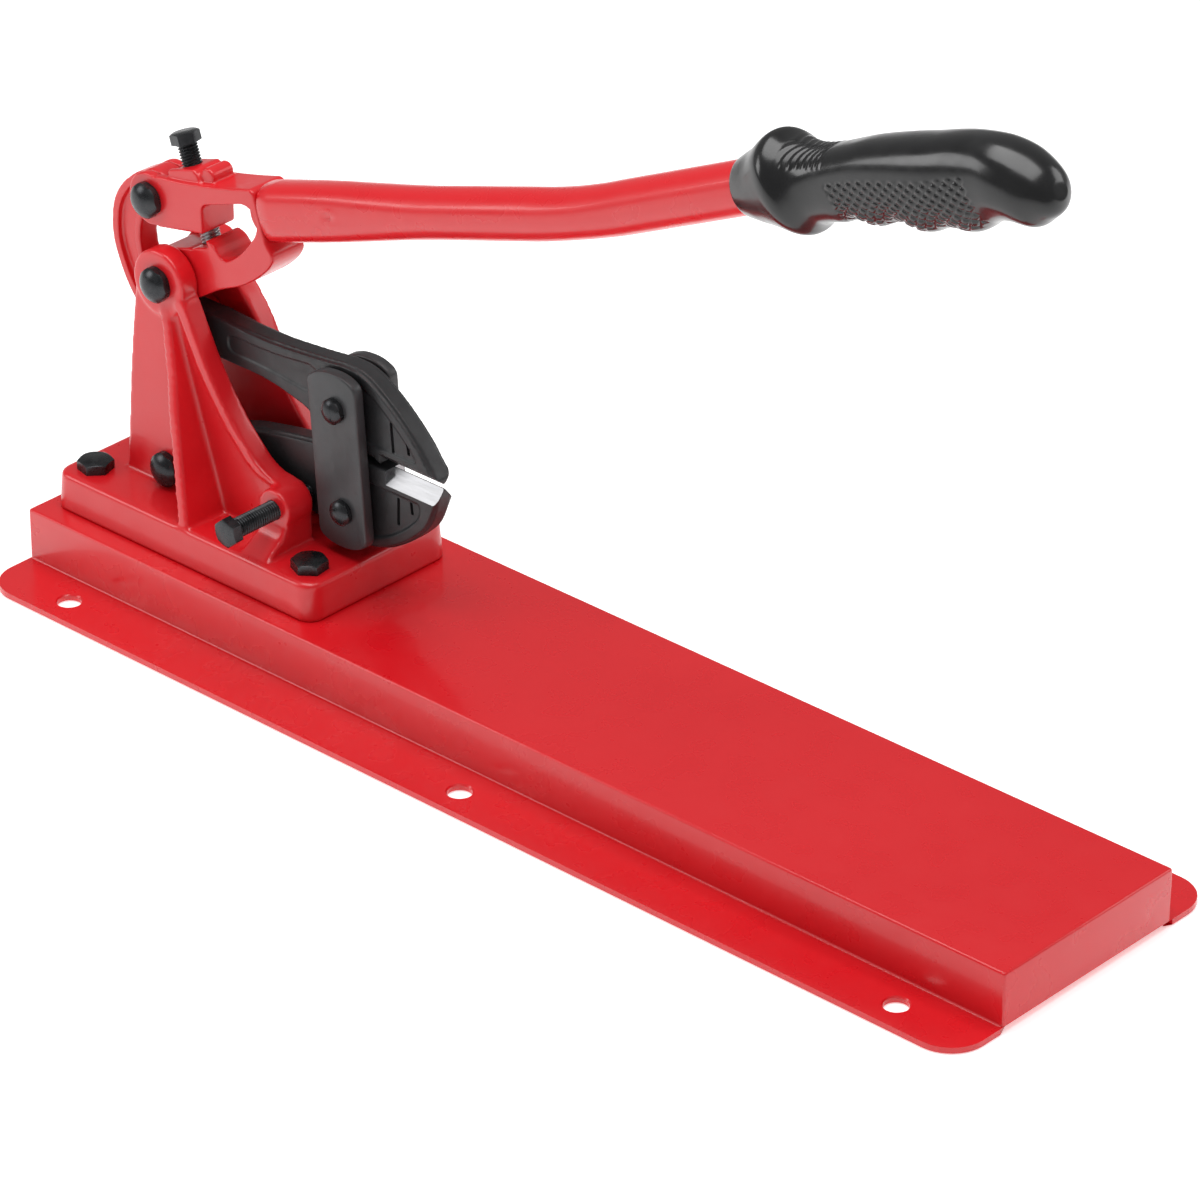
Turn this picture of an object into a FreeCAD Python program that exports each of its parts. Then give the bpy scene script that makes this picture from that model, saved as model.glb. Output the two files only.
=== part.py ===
import FreeCAD, Part
import math
import os
import types

import Sketcher
from FreeCAD import Placement, Rotation, Vector

# Bench-mounted bolt cutter. Millimetres, +Z up, origin at the middle of the base's underside.
# +X runs along the base, from the cutter stand towards the free end of the lever's grip.
# Everything on the stand is placed from the lever pivot, and the plane Y = 0 is its middle plane.

doc = FreeCAD.newDocument("BenchBoltCutter")

# ---------------------------------------------------------------- driving dimensions

SIZES = {
    # folded base sheet
    "base_length": 620, "base_width": 182, "base_height": 30.5, "channel_width": 118,
    "sheet_gauge": 3, "flange_corner": 19, "bend_radius": 4,
    "mount_hole_radius": 6, "mount_hole_end": 46, "mount_hole_edge": 15,
    # cast stand
    "block_end_gap": 6, "block_length": 179.5, "block_width": 96, "block_height": 20,
    "block_corner": 9, "block_edge": 3, "base_bolt_inset": 15.5, "base_bolt_radius": 5,
    "base_bolt_hole": 5.5, "pivot_from_block": 54.5, "lower_pin_height": 9.5,
    "cheek_thickness": 9, "cheek_play": 0.5, "boss_radius": 17, "boss_stand": 2,
    "rib_thickness": 7, "rib_foot": 46, "well_depth": 3.5,
    "clamp_boss_radius": 10.3, "clamp_boss_stand": 9.5, "clamp_along": 83, "clamp_drop": 90,
    # pins and bolts
    "pivot_radius": 6, "pin_play": 0.05, "dome_radius": 9, "dome_rim": 2.6,
    "hex_across": 16, "base_head_thick": 5.2,
    "screw_head_across": 13, "screw_head_thick": 5.5, "screw_radius": 5, "nut_thick": 8, "nut_land": 3,
    "small_nut_land": 2,
    "clamp_head_stand": 27, "adjuster_head_stand": 8.3, "tip_gap": 0.3, "washer_radius": 10, "washer_thick": 2,
    "jaw_bolt_radius": 5, "strap_bolt_radius": 4.5, "strap_dome_radius": 6.5,
    # lever
    "head_thickness": 22, "fork_play": 0.3, "link_pin_back": 16.5, "link_pin_up": 35.5,
    "head_hub_radius": 13.5, "link_boss_radius": 13.5, "web_thickness": 22, "adjuster_lean": 18,
    "leg_slope": 17.6, "grip_slope": 25, "leg_length": 207.7, "bend_along": 257.5, "bend_up": 113,
    "sleeve_half_height": 14.5, "sleeve_half_width": 12, "tube_radius": 12.5, "tube_wall": 3,
    "tang_length": 55, "fit_play": 0.1, "tube_into_grip": 95, "grip_start": 106,
    # link
    "link_thickness": 12, "tail_play": 0.4, "jaw_pin_back": 0.5, "jaw_pin_down": 27.5,
    "jaw_pin_radius": 5, "jaw_pin_slack": 2.9, "link_eye_radius": 11.5,
    # jaws and straps
    "jaw_thickness": 12.6, "strap_gap": 17, "strap_boss_radius": 11, "tail_thickness": 12, "tail_eye_radius": 11.5, "lower_eye_radius": 10,
    "lower_jaw_drop": 101, "upper_bevel": 5.6, "lower_bevel": 7.5, "edge_drop": 57.9, "jaw_gap": 2.4,
    "strap_thickness": 6.3, "strap_play": 0.2, "strap_width": 31.8, "strap_shift": 1.7, "strap_above": 19,
    "strap_below": 20, "strap_centres": 53.2, "strap_tilt": 4.3, "strap_foot_along": 115,
    "strap_foot_down": 85.2,
}

sheet = doc.addObject("Spreadsheet::Sheet", "Dims")
for row, (alias, number) in enumerate(SIZES.items(), start=1):
    sheet.set("A%d" % row, alias.replace("_", " "))
    sheet.set("B%d" % row, str(number))
    sheet.setAlias("B%d" % row, alias)
doc.recompute()


class Size:
    """A length or angle that carries its number and the sheet expression that gives it."""

    def __init__(self, value, text):
        self.value = float(value)
        self.text = text

    def __add__(self, other):
        other = as_size(other)
        return Size(self.value + other.value, "(%s + %s)" % (self.text, other.text))

    def __sub__(self, other):
        other = as_size(other)
        return Size(self.value - other.value, "(%s - %s)" % (self.text, other.text))

    def __mul__(self, other):
        other = as_size(other)
        return Size(self.value * other.value, "(%s * %s)" % (self.text, other.text))

    def __truediv__(self, other):
        other = as_size(other)
        return Size(self.value / other.value, "(%s / %s)" % (self.text, other.text))

    def __radd__(self, other):
        return as_size(other) + self

    def __rsub__(self, other):
        return as_size(other) - self

    def __rmul__(self, other):
        return as_size(other) * self

    def __neg__(self):
        return as_size(0) - self


def as_size(number):
    if isinstance(number, Size):
        return number
    return Size(number, "(%r)" % float(number))


def sine(angle):
    return Size(math.sin(math.radians(angle.value)), "sin(%s * 1deg)" % angle.text)


def cosine(angle):
    return Size(math.cos(math.radians(angle.value)), "cos(%s * 1deg)" % angle.text)


d = types.SimpleNamespace(**{name: Size(number, "Dims.%s" % name) for name, number in SIZES.items()})

# ---------------------------------------------------------------- places worked out from them

half_length = d.base_length / 2
block_left = d.block_end_gap - half_length
block_right = block_left + d.block_length
block_top = d.base_height + d.block_height
pivot_x = block_left + d.pivot_from_block
pivot_z = block_top + d.lower_pin_height + d.lower_jaw_drop

cheek_gap = d.head_thickness + d.cheek_play * 2
fork_gap = d.link_thickness + d.fork_play * 2
tail_gap = d.tail_thickness + d.tail_play * 2
cheek_inner = cheek_gap / 2
cheek_outer = cheek_inner + d.cheek_thickness
boss_face = cheek_outer + d.boss_stand
clamp_face = cheek_outer + d.clamp_boss_stand
head_face = d.head_thickness / 2
strap_inner = d.strap_gap / 2 + d.strap_play
strap_outer = strap_inner + d.strap_thickness

link_pin = (pivot_x - d.link_pin_back, pivot_z + d.link_pin_up)
jaw_pin = (pivot_x - d.jaw_pin_back, pivot_z - d.jaw_pin_down)
lower_pin = (pivot_x, pivot_z - d.lower_jaw_drop)
strap_foot = (pivot_x + d.strap_foot_along, pivot_z - d.strap_foot_down)
strap_head = (strap_foot[0] - d.strap_centres * sine(d.strap_tilt),
              strap_foot[1] + d.strap_centres * cosine(d.strap_tilt))
clamp = (pivot_x + d.clamp_along, pivot_z - d.clamp_drop)
bend = (pivot_x + d.bend_along, pivot_z + d.bend_up)
sleeve = (bend[0] - d.leg_length * cosine(d.leg_slope), bend[1] - d.leg_length * sine(d.leg_slope))


def from_pivot(offsets):
    # outline points given as (along, up) from the lever pivot
    return [(pivot_x + along, pivot_z + up) for along, up in offsets]


# ---------------------------------------------------------------- small helpers

subparts = []


def bind(thing, prop, length):
    thing.setExpression(prop, as_size(length).text)


def keep(thing, label):
    thing.Label = label
    subparts.append(thing)
    return thing


def new_body(label):
    return keep(doc.addObject("PartDesign::Body", label), label)


def new_sketch(body, name, role, lift=None):
    plane = [face for face in body.Origin.OriginFeatures if face.Role == role][0]
    drawing = body.newObject("Sketcher::SketchObject", name)
    drawing.AttachmentSupport = [(plane, "")]
    drawing.MapMode = "FlatFace"
    if lift is not None:
        bind(drawing, "AttachmentOffset.Base.z", lift)
    return drawing


def pin_point(drawing, geometry, point, across, up):
    for kind, length in (("DistanceX", across), ("DistanceY", up)):
        length = as_size(length)
        index = drawing.addConstraint(Sketcher.Constraint(kind, geometry, point, length.value))
        name = "place_%d" % index
        drawing.renameConstraint(index, name)
        drawing.setExpression("Constraints." + name, length.text)


def draw_outline(drawing, points):
    points = [(as_size(across), as_size(up)) for across, up in points]
    corners = [Vector(across.value, up.value, 0) for across, up in points]
    first = None
    count = len(corners)
    lines = []
    for index in range(count):
        segment = Part.LineSegment(corners[index], corners[(index + 1) % count])
        lines.append(drawing.addGeometry(segment, False))
        if first is None:
            first = lines[0]
    for index in range(count):
        follower = lines[(index + 1) % count]
        drawing.addConstraint(Sketcher.Constraint("Coincident", lines[index], 2, follower, 1))
    for index in range(count):
        pin_point(drawing, lines[index], 1, *points[index])


def draw_circle(drawing, centre, radius):
    across, up = as_size(centre[0]), as_size(centre[1])
    radius = as_size(radius)
    ring = drawing.addGeometry(Part.Circle(Vector(across.value, up.value, 0), Vector(0, 0, 1), radius.value), False)
    index = drawing.addConstraint(Sketcher.Constraint("Radius", ring, radius.value))
    name = "circle_radius_%d" % index
    drawing.renameConstraint(index, name)
    drawing.setExpression("Constraints." + name, radius.text)
    pin_point(drawing, ring, 3, across, up)


def rectangle(low_x, low_y, high_x, high_y):
    return [(low_x, low_y), (high_x, low_y), (high_x, high_y), (low_x, high_y)]


def pad(body, drawing, length, both_ways=True, reverse=False):
    feature = body.newObject("PartDesign::Pad", drawing.Name + "_pad")
    feature.Profile = drawing
    feature.SideType = "Symmetric" if both_ways else "One side"
    feature.Reversed = reverse
    bind(feature, "Length", length)
    drawing.Visibility = False
    doc.recompute()
    return feature


def pocket(body, drawing, length, both_ways=True, reverse=False):
    before = body.Shape.Volume
    feature = body.newObject("PartDesign::Pocket", drawing.Name + "_cut")
    feature.Profile = drawing
    feature.SideType = "Symmetric" if both_ways else "One side"
    feature.Reversed = reverse
    bind(feature, "Length", length)
    drawing.Visibility = False
    doc.recompute()
    if not body.Shape.Volume < before - 0.01:
        raise RuntimeError("%s removes nothing" % feature.Name)
    return feature


def pad_outline(body, name, points, width):
    drawing = new_sketch(body, name, "XZ_Plane")
    draw_outline(drawing, points)
    return pad(body, drawing, width)


def pad_disc(body, name, centre, radius, width):
    drawing = new_sketch(body, name, "XZ_Plane")
    draw_circle(drawing, centre, radius)
    return pad(body, drawing, width)


def cut_outline(body, name, points, width):
    drawing = new_sketch(body, name, "XZ_Plane")
    draw_outline(drawing, points)
    return pocket(body, drawing, width)


def cut_disc(body, name, centre, radius, width):
    drawing = new_sketch(body, name, "XZ_Plane")
    draw_circle(drawing, centre, radius)
    return pocket(body, drawing, width)


def round_edges(body, name, radius, wanted):
    # Fillets the edges of the body's tip that the test picks.
    tip = body.Tip
    names = ["Edge%d" % (index + 1) for index, edge in enumerate(tip.Shape.Edges) if wanted(edge)]
    if not names:
        raise RuntimeError("%s finds no edge" % name)
    feature = body.newObject("PartDesign::Fillet", name)
    feature.Base = (tip, names)
    bind(feature, "Radius", radius)
    doc.recompute()
    return feature


def runs_along(edge, direction):
    if len(edge.Vertexes) != 2 or edge.Curve.TypeId != "Part::GeomLine":
        return False
    span = edge.Vertexes[1].Point - edge.Vertexes[0].Point
    return abs(abs(span.normalize().dot(direction)) - 1) < 1e-6


def place(thing, x, y, z, axis=None, angle=0):
    if axis is not None:
        thing.Placement = Placement(Vector(), Rotation(axis, as_size(angle).value))
        bind(thing, "Placement.Rotation.Angle", angle)
    for letter, length in zip("xyz", (x, y, z)):
        bind(thing, "Placement.Base." + letter, length)
    return thing


def solid(kind, name, **lengths):
    thing = doc.addObject(kind, name)
    for prop, length in lengths.items():
        bind(thing, prop, length)
    return thing


def fuse(name, pieces):
    thing = doc.addObject("Part::MultiFuse", name)
    thing.Shapes = pieces
    thing.Refine = True
    return thing


TOWARDS_FRONT = (Vector(1, 0, 0), 90)      # turns +Z to -Y
TOWARDS_BACK = (Vector(1, 0, 0), -90)      # turns +Z to +Y


def domed_bolt(label, centre, seat, shank, radius, head_radius):
    # A bolt along Y whose domed head sits on the front seat and whose shank runs to the back.
    back = solid("Part::Cylinder", label + "_shank", Radius=radius, Height=shank)
    place(back, centre[0], -seat, centre[1], *TOWARDS_BACK)
    rim = solid("Part::Cylinder", label + "_rim", Radius=head_radius, Height=d.dome_rim)
    place(rim, centre[0], -seat, centre[1], *TOWARDS_FRONT)
    rise = Size(35, "35")
    ball = head_radius / cosine(rise)
    dome = solid("Part::Sphere", label + "_dome", Radius=ball, Angle1=rise)
    place(dome, centre[0], ball * sine(rise) - seat - d.dome_rim, centre[1], *TOWARDS_FRONT)
    return keep(fuse(label, [back, rim, dome]), label)


def hex_nut(label, centre, seat, thick, across, bore):
    outer = solid("Part::Prism", label + "_hex", Circumradius=across / 2 / cosine(Size(30, "30")), Height=thick)
    outer.Polygon = 6
    hole = solid("Part::Cylinder", label + "_bore", Radius=bore, Height=thick)
    for thing in (outer, hole):
        place(thing, centre[0], seat, centre[1], *TOWARDS_BACK)
    nut = doc.addObject("Part::Cut", label)
    nut.Base = outer
    nut.Tool = hole
    return keep(nut, label)


def hex_screw(label, head_thick, across, stand, radius, shank):
    # Along +Z from the shank's tip at the origin; the head's underside is at the shank's end.
    rod = solid("Part::Cylinder", label + "_shank", Radius=radius, Height=shank + stand)
    head = solid("Part::Prism", label + "_head", Circumradius=across / 2 / cosine(Size(30, "30")), Height=head_thick)
    head.Polygon = 6
    place(head, 0, 0, shank + stand)
    return fuse(label, [rod, head])


# ---------------------------------------------------------------- base

def make_base():
    body = new_body("base_plate")
    half_width = d.base_width / 2
    drawing = new_sketch(body, "flange", "XY_Plane")
    draw_outline(drawing, rectangle(-half_length, -half_width, half_length, half_width))
    pad(body, drawing, d.sheet_gauge, both_ways=False)
    round_edges(body, "flange_corners", d.flange_corner, lambda edge: runs_along(edge, Vector(0, 0, 1)))
    drawing = new_sketch(body, "channel", "XY_Plane")
    half_channel = d.channel_width / 2
    draw_outline(drawing, rectangle(-half_length, -half_channel, half_length, half_channel))
    pad(body, drawing, d.base_height, both_ways=False)
    top = d.base_height.value

    def folded(edge):
        # the channel's upper outline and its four upright corners
        middle = edge.CenterOfMass
        on_top = abs(edge.BoundBox.ZMin - top) < 1e-6 and abs(edge.BoundBox.ZMax - top) < 1e-6
        upright = runs_along(edge, Vector(0, 0, 1)) and abs(edge.BoundBox.ZMax - top) < 1e-6
        return on_top or (upright and abs(abs(middle.y) - half_channel.value) < 1e-6)

    round_edges(body, "folds", d.bend_radius, folded)
    drawing = new_sketch(body, "hollow", "XY_Plane")
    gauge = d.sheet_gauge
    draw_outline(drawing, rectangle(gauge - half_length, gauge - half_channel,
                                    half_length - gauge, half_channel - gauge))
    pocket(body, drawing, d.base_height - gauge, both_ways=False, reverse=True)
    drawing = new_sketch(body, "mounting_holes", "XY_Plane")
    across = half_width - d.mount_hole_edge
    along = half_length - d.mount_hole_end
    for x in (-along, as_size(0), along):
        for y in (-across, across):
            draw_circle(drawing, (x, y), d.mount_hole_radius)
    pocket(body, drawing, gauge, both_ways=False, reverse=True)
    drawing = new_sketch(body, "stand_holes", "XY_Plane")
    for centre in base_bolt_places():
        draw_circle(drawing, centre, d.base_bolt_hole)
    pocket(body, drawing, d.base_height, both_ways=False, reverse=True)


def base_bolt_places():
    across = d.block_width / 2 - d.base_bolt_inset
    return [(x, y) for x in (block_left + d.base_bolt_inset, block_right - d.base_bolt_inset)
            for y in (-across, across)]


def make_base_fasteners():
    grip_through = d.block_height + d.sheet_gauge
    underside = d.base_height - d.sheet_gauge
    overhang = d.washer_thick + d.nut_thick
    bolts, washers, nuts = [], [], []
    for index, (x, y) in enumerate(base_bolt_places(), start=1):
        bolt = hex_screw("base_bolt_%d" % index, d.base_head_thick, d.hex_across, 0, d.base_bolt_radius,
                         grip_through + overhang)
        place(bolt, x, y, underside - overhang)
        bolts.append(bolt)
        disc = solid("Part::Cylinder", "washer_disc_%d" % index, Radius=d.washer_radius, Height=d.washer_thick)
        block = solid("Part::Prism", "nut_hex_%d" % index, Height=d.nut_thick,
                      Circumradius=d.hex_across / 2 / cosine(Size(30, "30")))
        block.Polygon = 6
        for thing, group, low in ((disc, washers, underside - d.washer_thick), (block, nuts, underside - overhang)):
            thick = d.washer_thick if group is washers else d.nut_thick
            place(thing, x, y, low)
            hole = solid("Part::Cylinder", thing.Name + "_bore", Radius=d.base_bolt_radius + d.pin_play, Height=thick)
            place(hole, x, y, low)
            ring = doc.addObject("Part::Cut", thing.Name + "_ring")
            ring.Base = thing
            ring.Tool = hole
            group.append(ring)
    for label, group in (("base_bolts", bolts), ("base_washers", washers), ("base_nuts", nuts)):
        compound = doc.addObject("Part::Compound", label)
        compound.Links = group
        keep(compound, label)


# ---------------------------------------------------------------- cast stand

CHEEK_REAR = [(-23.5, -44.5), (-17, 1.5)]
CHEEK_FRONT = [(16.7, -3), (23.7, -17.6), (35.1, -40.6), (51.3, -61.9), (65.8, -75.7), (74.5, -79.5),
               (83.5, -79.5), (90, -86)]

# the rear cheek's front edge reaches further forward
REAR_CHEEK_FRONT = [(16.7, -3), (29.7, -17.6), (42.6, -40.6), (58.3, -61.9), (70.3, -75.7), (74.5, -79.5),
                    (83.5, -79.5), (90, -86)]


def make_stand():
    body = new_body("stand_casting")
    foot = block_top
    # the outside ribs: one thin leaning wall, trimmed to a taper on both sides
    rib_top = pivot_z - d.boss_radius
    half_rib = d.rib_thickness / 2
    pad_outline(body, "rib_wall", [(pivot_x + 4.5 - half_rib, rib_top), (pivot_x + 4.5 + half_rib, rib_top),
                                   (pivot_x + 36.5 + half_rib, foot), (pivot_x + 36.5 - half_rib, foot)],
                d.rib_foot * 2)
    for side in (-1, 1):
        drawing = new_sketch(body, "rib_taper_%s" % ("front" if side < 0 else "back"), "YZ_Plane", pivot_x)
        draw_outline(drawing, [(side * boss_face, rib_top + 1), (side * d.rib_foot, foot),
                               (side * (d.rib_foot + 5), foot), (side * (d.rib_foot + 5), rib_top + 1)])
        pocket(body, drawing, 160)
    cheek = ([(pivot_x - 29.5, foot)] + from_pivot(CHEEK_REAR) + from_pivot(CHEEK_FRONT)
             + [(pivot_x + 90, foot)])
    pad_outline(body, "cheeks", cheek, cheek_outer * 2)
    drawing = new_sketch(body, "rear_cheek", "XZ_Plane")
    draw_outline(drawing, [(pivot_x, foot), (pivot_x, pivot_z)] + from_pivot(REAR_CHEEK_FRONT)
                 + [(pivot_x + 90, foot)])
    pad(body, drawing, cheek_outer, both_ways=False, reverse=True)
    pad_disc(body, "pivot_boss", (pivot_x, pivot_z), d.boss_radius, boss_face * 2)
    pad_disc(body, "clamp_boss", clamp, d.clamp_boss_radius, clamp_face * 2)
    pad_outline(body, "clamp_foot", rectangle(clamp[0] - d.clamp_boss_radius, foot,
                                              clamp[0] + d.clamp_boss_radius, clamp[1]), clamp_face * 2)
    drawing = new_sketch(body, "block", "XY_Plane", d.base_height)
    half_block = d.block_width / 2
    draw_outline(drawing, rectangle(block_left, -half_block, block_right, half_block))
    pad(body, drawing, d.block_height, both_ways=False)

    def block_corner(edge):
        box = edge.BoundBox
        return runs_along(edge, Vector(0, 0, 1)) and abs(abs(box.YMin) - half_block.value) < 1e-6

    round_edges(body, "block_corners", d.block_corner, block_corner)
    cut_outline(body, "between_cheeks", rectangle(pivot_x - 35, foot, pivot_x + 110, pivot_z + 30), cheek_gap)
    cut_outline(body, "eye_well", rectangle(pivot_x - 14, foot - d.well_depth, pivot_x + 80, foot + 1), cheek_gap)
    cut_disc(body, "pivot_bore", (pivot_x, pivot_z), d.pivot_radius + d.pin_play, boss_face * 2 + 2)
    cut_disc(body, "lower_bore", lower_pin, d.jaw_bolt_radius + d.pin_play, cheek_outer * 2 + 2)
    drawing = new_sketch(body, "clamp_bore", "XZ_Plane")
    draw_circle(drawing, clamp, d.screw_radius + d.pin_play)
    pocket(body, drawing, clamp_face + 1, both_ways=False, reverse=True)
    drawing = new_sketch(body, "foot_holes", "XY_Plane")
    for centre in base_bolt_places():
        draw_circle(drawing, centre, d.base_bolt_hole)
    pocket(body, drawing, block_top + 1, both_ways=False, reverse=True)


# ---------------------------------------------------------------- lever

HEAD_OUTLINE = [(-16.5, 49), (0.5, 50.3), (30, 56.3), (55, 63.3), (63.3, 36.5), (68.5, 32), (65.5, 25.5), (57.5, 17.5),
                (44.5, 8.5), (31, 3), (11.5, -9.5), (6.5, 1.5), (11.5, 18.5), (23.5, 22.3), (19.8, 28.5),
                (-12.5, 22)]
WINDOW = [(19.8, 25.5), (19.8, 43.8), (49.5, 54.1), (57, 50.5), (57.7, 41.5), (49.5, 30.1), (40.5, 21.7),
          (33.5, 18), (26.5, 25.5)]
WEB = [(-12.5, 10.7), (13.5, 19), (19.5, 11.5), (13.5, -8.5), (-5.5, -8.5), (-13.5, 1.5)]

ADJUSTER_TOP = 70       # height above the pivot where the screw's hole is started
LUG_BELOW_TOP = 11.5    # from there down the axis to the lug's face


def adjuster_place(height):
    # a point on the adjusting screw's axis, at a height above the lever pivot
    lean = sine(d.adjuster_lean) / cosine(d.adjuster_lean)
    return (pivot_x + 3.5 - (as_size(height) - 55.9) * lean, pivot_z + height)


def make_lever_head():
    body = new_body("lever_head")
    pad_outline(body, "head", from_pivot(HEAD_OUTLINE), d.head_thickness)
    pad_outline(body, "web", from_pivot(WEB), d.web_thickness)
    pad_disc(body, "hub", (pivot_x, pivot_z), d.head_hub_radius, d.head_thickness)
    pad_disc(body, "link_boss", link_pin, d.link_boss_radius, d.head_thickness)
    low, high = adjuster_place(48), adjuster_place(56)
    pad_outline(body, "screw_lug", [(low[0] - 9, low[1]), (low[0] + 14, low[1] + 4), (high[0] + 10, high[1] + 3),
                                    (high[0] - 8.5, high[1] - 2)], d.head_thickness - 4)
    pad_disc(body, "lug_ridge", (pivot_x + 20.5, pivot_z + 57), 4.5, d.head_thickness - 4)
    cut_outline(body, "window", from_pivot(WINDOW), d.head_thickness + 2)
    root = link_pin[0] + d.link_boss_radius + 3
    cut_outline(body, "fork", rectangle(link_pin[0] - 25, pivot_z + 17.5, root, pivot_z + 58), fork_gap)
    cut_disc(body, "pivot_hole", (pivot_x, pivot_z), d.pivot_radius + d.pin_play, d.head_thickness + 2)
    cut_disc(body, "link_hole", link_pin, d.jaw_bolt_radius + d.pin_play, d.head_thickness + 2)
    # the tapped hole of the adjusting screw, bored down its leaning axis
    along = new_sketch(body, "screw_hole", "XY_Plane")
    along.AttachmentOffset = Placement(Vector(), Rotation(Vector(0, -1, 0), d.adjuster_lean.value))
    bind(along, "AttachmentOffset.Rotation.Angle", d.adjuster_lean)
    top = adjuster_place(ADJUSTER_TOP)
    bind(along, "AttachmentOffset.Base.x", top[0])
    bind(along, "AttachmentOffset.Base.z", top[1])
    draw_circle(along, (0, 0), d.screw_radius + d.pin_play)
    pocket(body, along, adjuster_reach() - 5, both_ways=False)
    # the tang that the tube is pushed over
    reach = d.tang_length
    shoulder = solid("Part::Ellipse", "tang_root", MajorRadius=d.sleeve_half_height - d.tube_wall - d.fit_play,
                     MinorRadius=d.sleeve_half_width - d.tube_wall - d.fit_play)
    start = leg_point(-9)
    place(shoulder, start[0], 0, start[1], Vector(0, 1, 0), 90 - d.leg_slope)
    tang = doc.addObject("Part::Extrusion", "tang")
    tang.Base = shoulder
    tang.DirMode = "Normal"
    tang.Solid = True
    bind(tang, "LengthFwd", reach + 9)
    casting = fuse("lever_casting", [body, tang])
    subparts.remove(body)
    body.Label = "lever_head_body"
    keep(casting, "lever_head")


def leg_point(distance):
    # a point on the lever tube's first straight run, from the sleeve's mouth towards the bend
    return (sleeve[0] + distance * cosine(d.leg_slope), sleeve[1] + distance * sine(d.leg_slope))


def grip_point(distance, drop=0):
    # a point along the second run, from the bend, dropped square to it
    return (bend[0] + distance * cosine(d.grip_slope) + drop * sine(d.grip_slope),
            bend[1] + distance * sine(d.grip_slope) - drop * cosine(d.grip_slope))


def adjuster_reach():
    # along the screw's axis, from its bored hole's start down to the slot's floor
    return (as_size(ADJUSTER_TOP) - 19.6) / cosine(d.adjuster_lean)


def oval(name, centre, half_height, half_width, slope):
    ring = solid("Part::Ellipse", name, MajorRadius=half_height, MinorRadius=half_width)
    return place(ring, centre[0], 0, centre[1], Vector(0, 1, 0), 90 - slope)


def loft(name, rings, ruled):
    thing = doc.addObject("Part::Loft", name)
    thing.Sections = rings
    thing.Solid = True
    thing.Ruled = ruled
    return thing


def tube_solid(name, inset):
    sections = ((0, d.sleeve_half_height, d.sleeve_half_width),
                (d.tang_length + 5, d.sleeve_half_height, d.sleeve_half_width),
                (d.tang_length * 2, d.tube_radius + 0.5, d.tube_radius + 0.2))
    rings = [oval("%s_ring_%d" % (name, index), leg_point(as_size(distance)), tall - inset, wide - inset, d.leg_slope)
             for index, (distance, tall, wide) in enumerate(sections)]
    # a mitred ring at the bend, then the straight run into the grip
    middle = (d.leg_slope + d.grip_slope) / 2
    rings.append(oval(name + "_ring_bend", bend, d.tube_radius + 0.1 - inset, d.tube_radius - inset, middle))
    last = grip_point(d.grip_start + d.tube_into_grip)
    rings.append(oval(name + "_ring_last", last, d.tube_radius + 0.01 - inset, d.tube_radius - inset, d.grip_slope))
    return loft(name, rings, True)


def make_lever_tube():
    tube = doc.addObject("Part::Cut", "lever_tube")
    tube.Base = tube_solid("tube_outside", as_size(0))
    tube.Tool = tube_solid("tube_inside", d.tube_wall)
    keep(tube, "lever_tube")


# distance along the grip, drop of its centre below the tube's axis, half height, half width
GRIP_SECTIONS = [(0, 0, 14.5, 14.4), (7, 0, 16, 15.9), (22, 0.5, 24, 22), (31, 1, 23.5, 21), (46, 1.6, 18.8, 17),
                 (69, 3, 21, 18), (99, 7, 22.5, 18.5), (139, 12.5, 22.5, 18.5), (162, 18, 20, 17.5),
                 (177, 23, 13.5, 13), (183, 25.5, 7, 6.9)]


def make_grip():
    rings = []
    for index, (distance, drop, tall, wide) in enumerate(GRIP_SECTIONS):
        centre = grip_point(d.grip_start + distance, as_size(drop))
        rings.append(oval("grip_ring_%d" % index, centre, as_size(tall), as_size(wide), d.grip_slope))
    bore = solid("Part::Cylinder", "grip_bore", Radius=d.tube_radius + d.fit_play, Height=d.tube_into_grip + 10)
    mouth = grip_point(d.grip_start - 10)
    place(bore, mouth[0], 0, mouth[1], Vector(0, 1, 0), 90 - d.grip_slope)
    grip = doc.addObject("Part::Cut", "grip")
    grip.Base = loft("grip_outside", rings, True)
    grip.Tool = bore
    keep(grip, "grip")


def make_screws():
    reach = adjuster_reach() - d.tip_gap
    top = adjuster_place(ADJUSTER_TOP)
    foot = (top[0] + reach * sine(d.adjuster_lean), top[1] - reach * cosine(d.adjuster_lean))
    screw = hex_screw("adjusting_screw", d.screw_head_thick, d.screw_head_across, 0, d.screw_radius,
                      reach - LUG_BELOW_TOP + d.adjuster_head_stand)
    place(screw, foot[0], 0, foot[1], Vector(0, -1, 0), d.adjuster_lean)
    keep(screw, "adjusting_screw")
    tip = d.jaw_thickness / 2 + d.strap_play
    screw = hex_screw("clamp_screw", d.screw_head_thick, d.screw_head_across, d.clamp_head_stand, d.screw_radius,
                      clamp_face - tip)
    place(screw, clamp[0], -tip, clamp[1], *TOWARDS_FRONT)
    keep(screw, "clamp_screw")


# ---------------------------------------------------------------- link and jaws

LINK_OUTLINE = [(-16.5, 49), (-28.6, 45.1), (-41.6, 34), (-47.5, 23.5), (-49, 12.8), (-48.7, 2.6), (-45.6, -6.8),
                (-41.6, -15.8), (-35, -26), (-26, -34.5), (-15, -38.5), (-15, -17), (-22, -11.5), (-28, 0),
                (-29.5, 12), (-26, 24), (-18, 30)]


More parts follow.
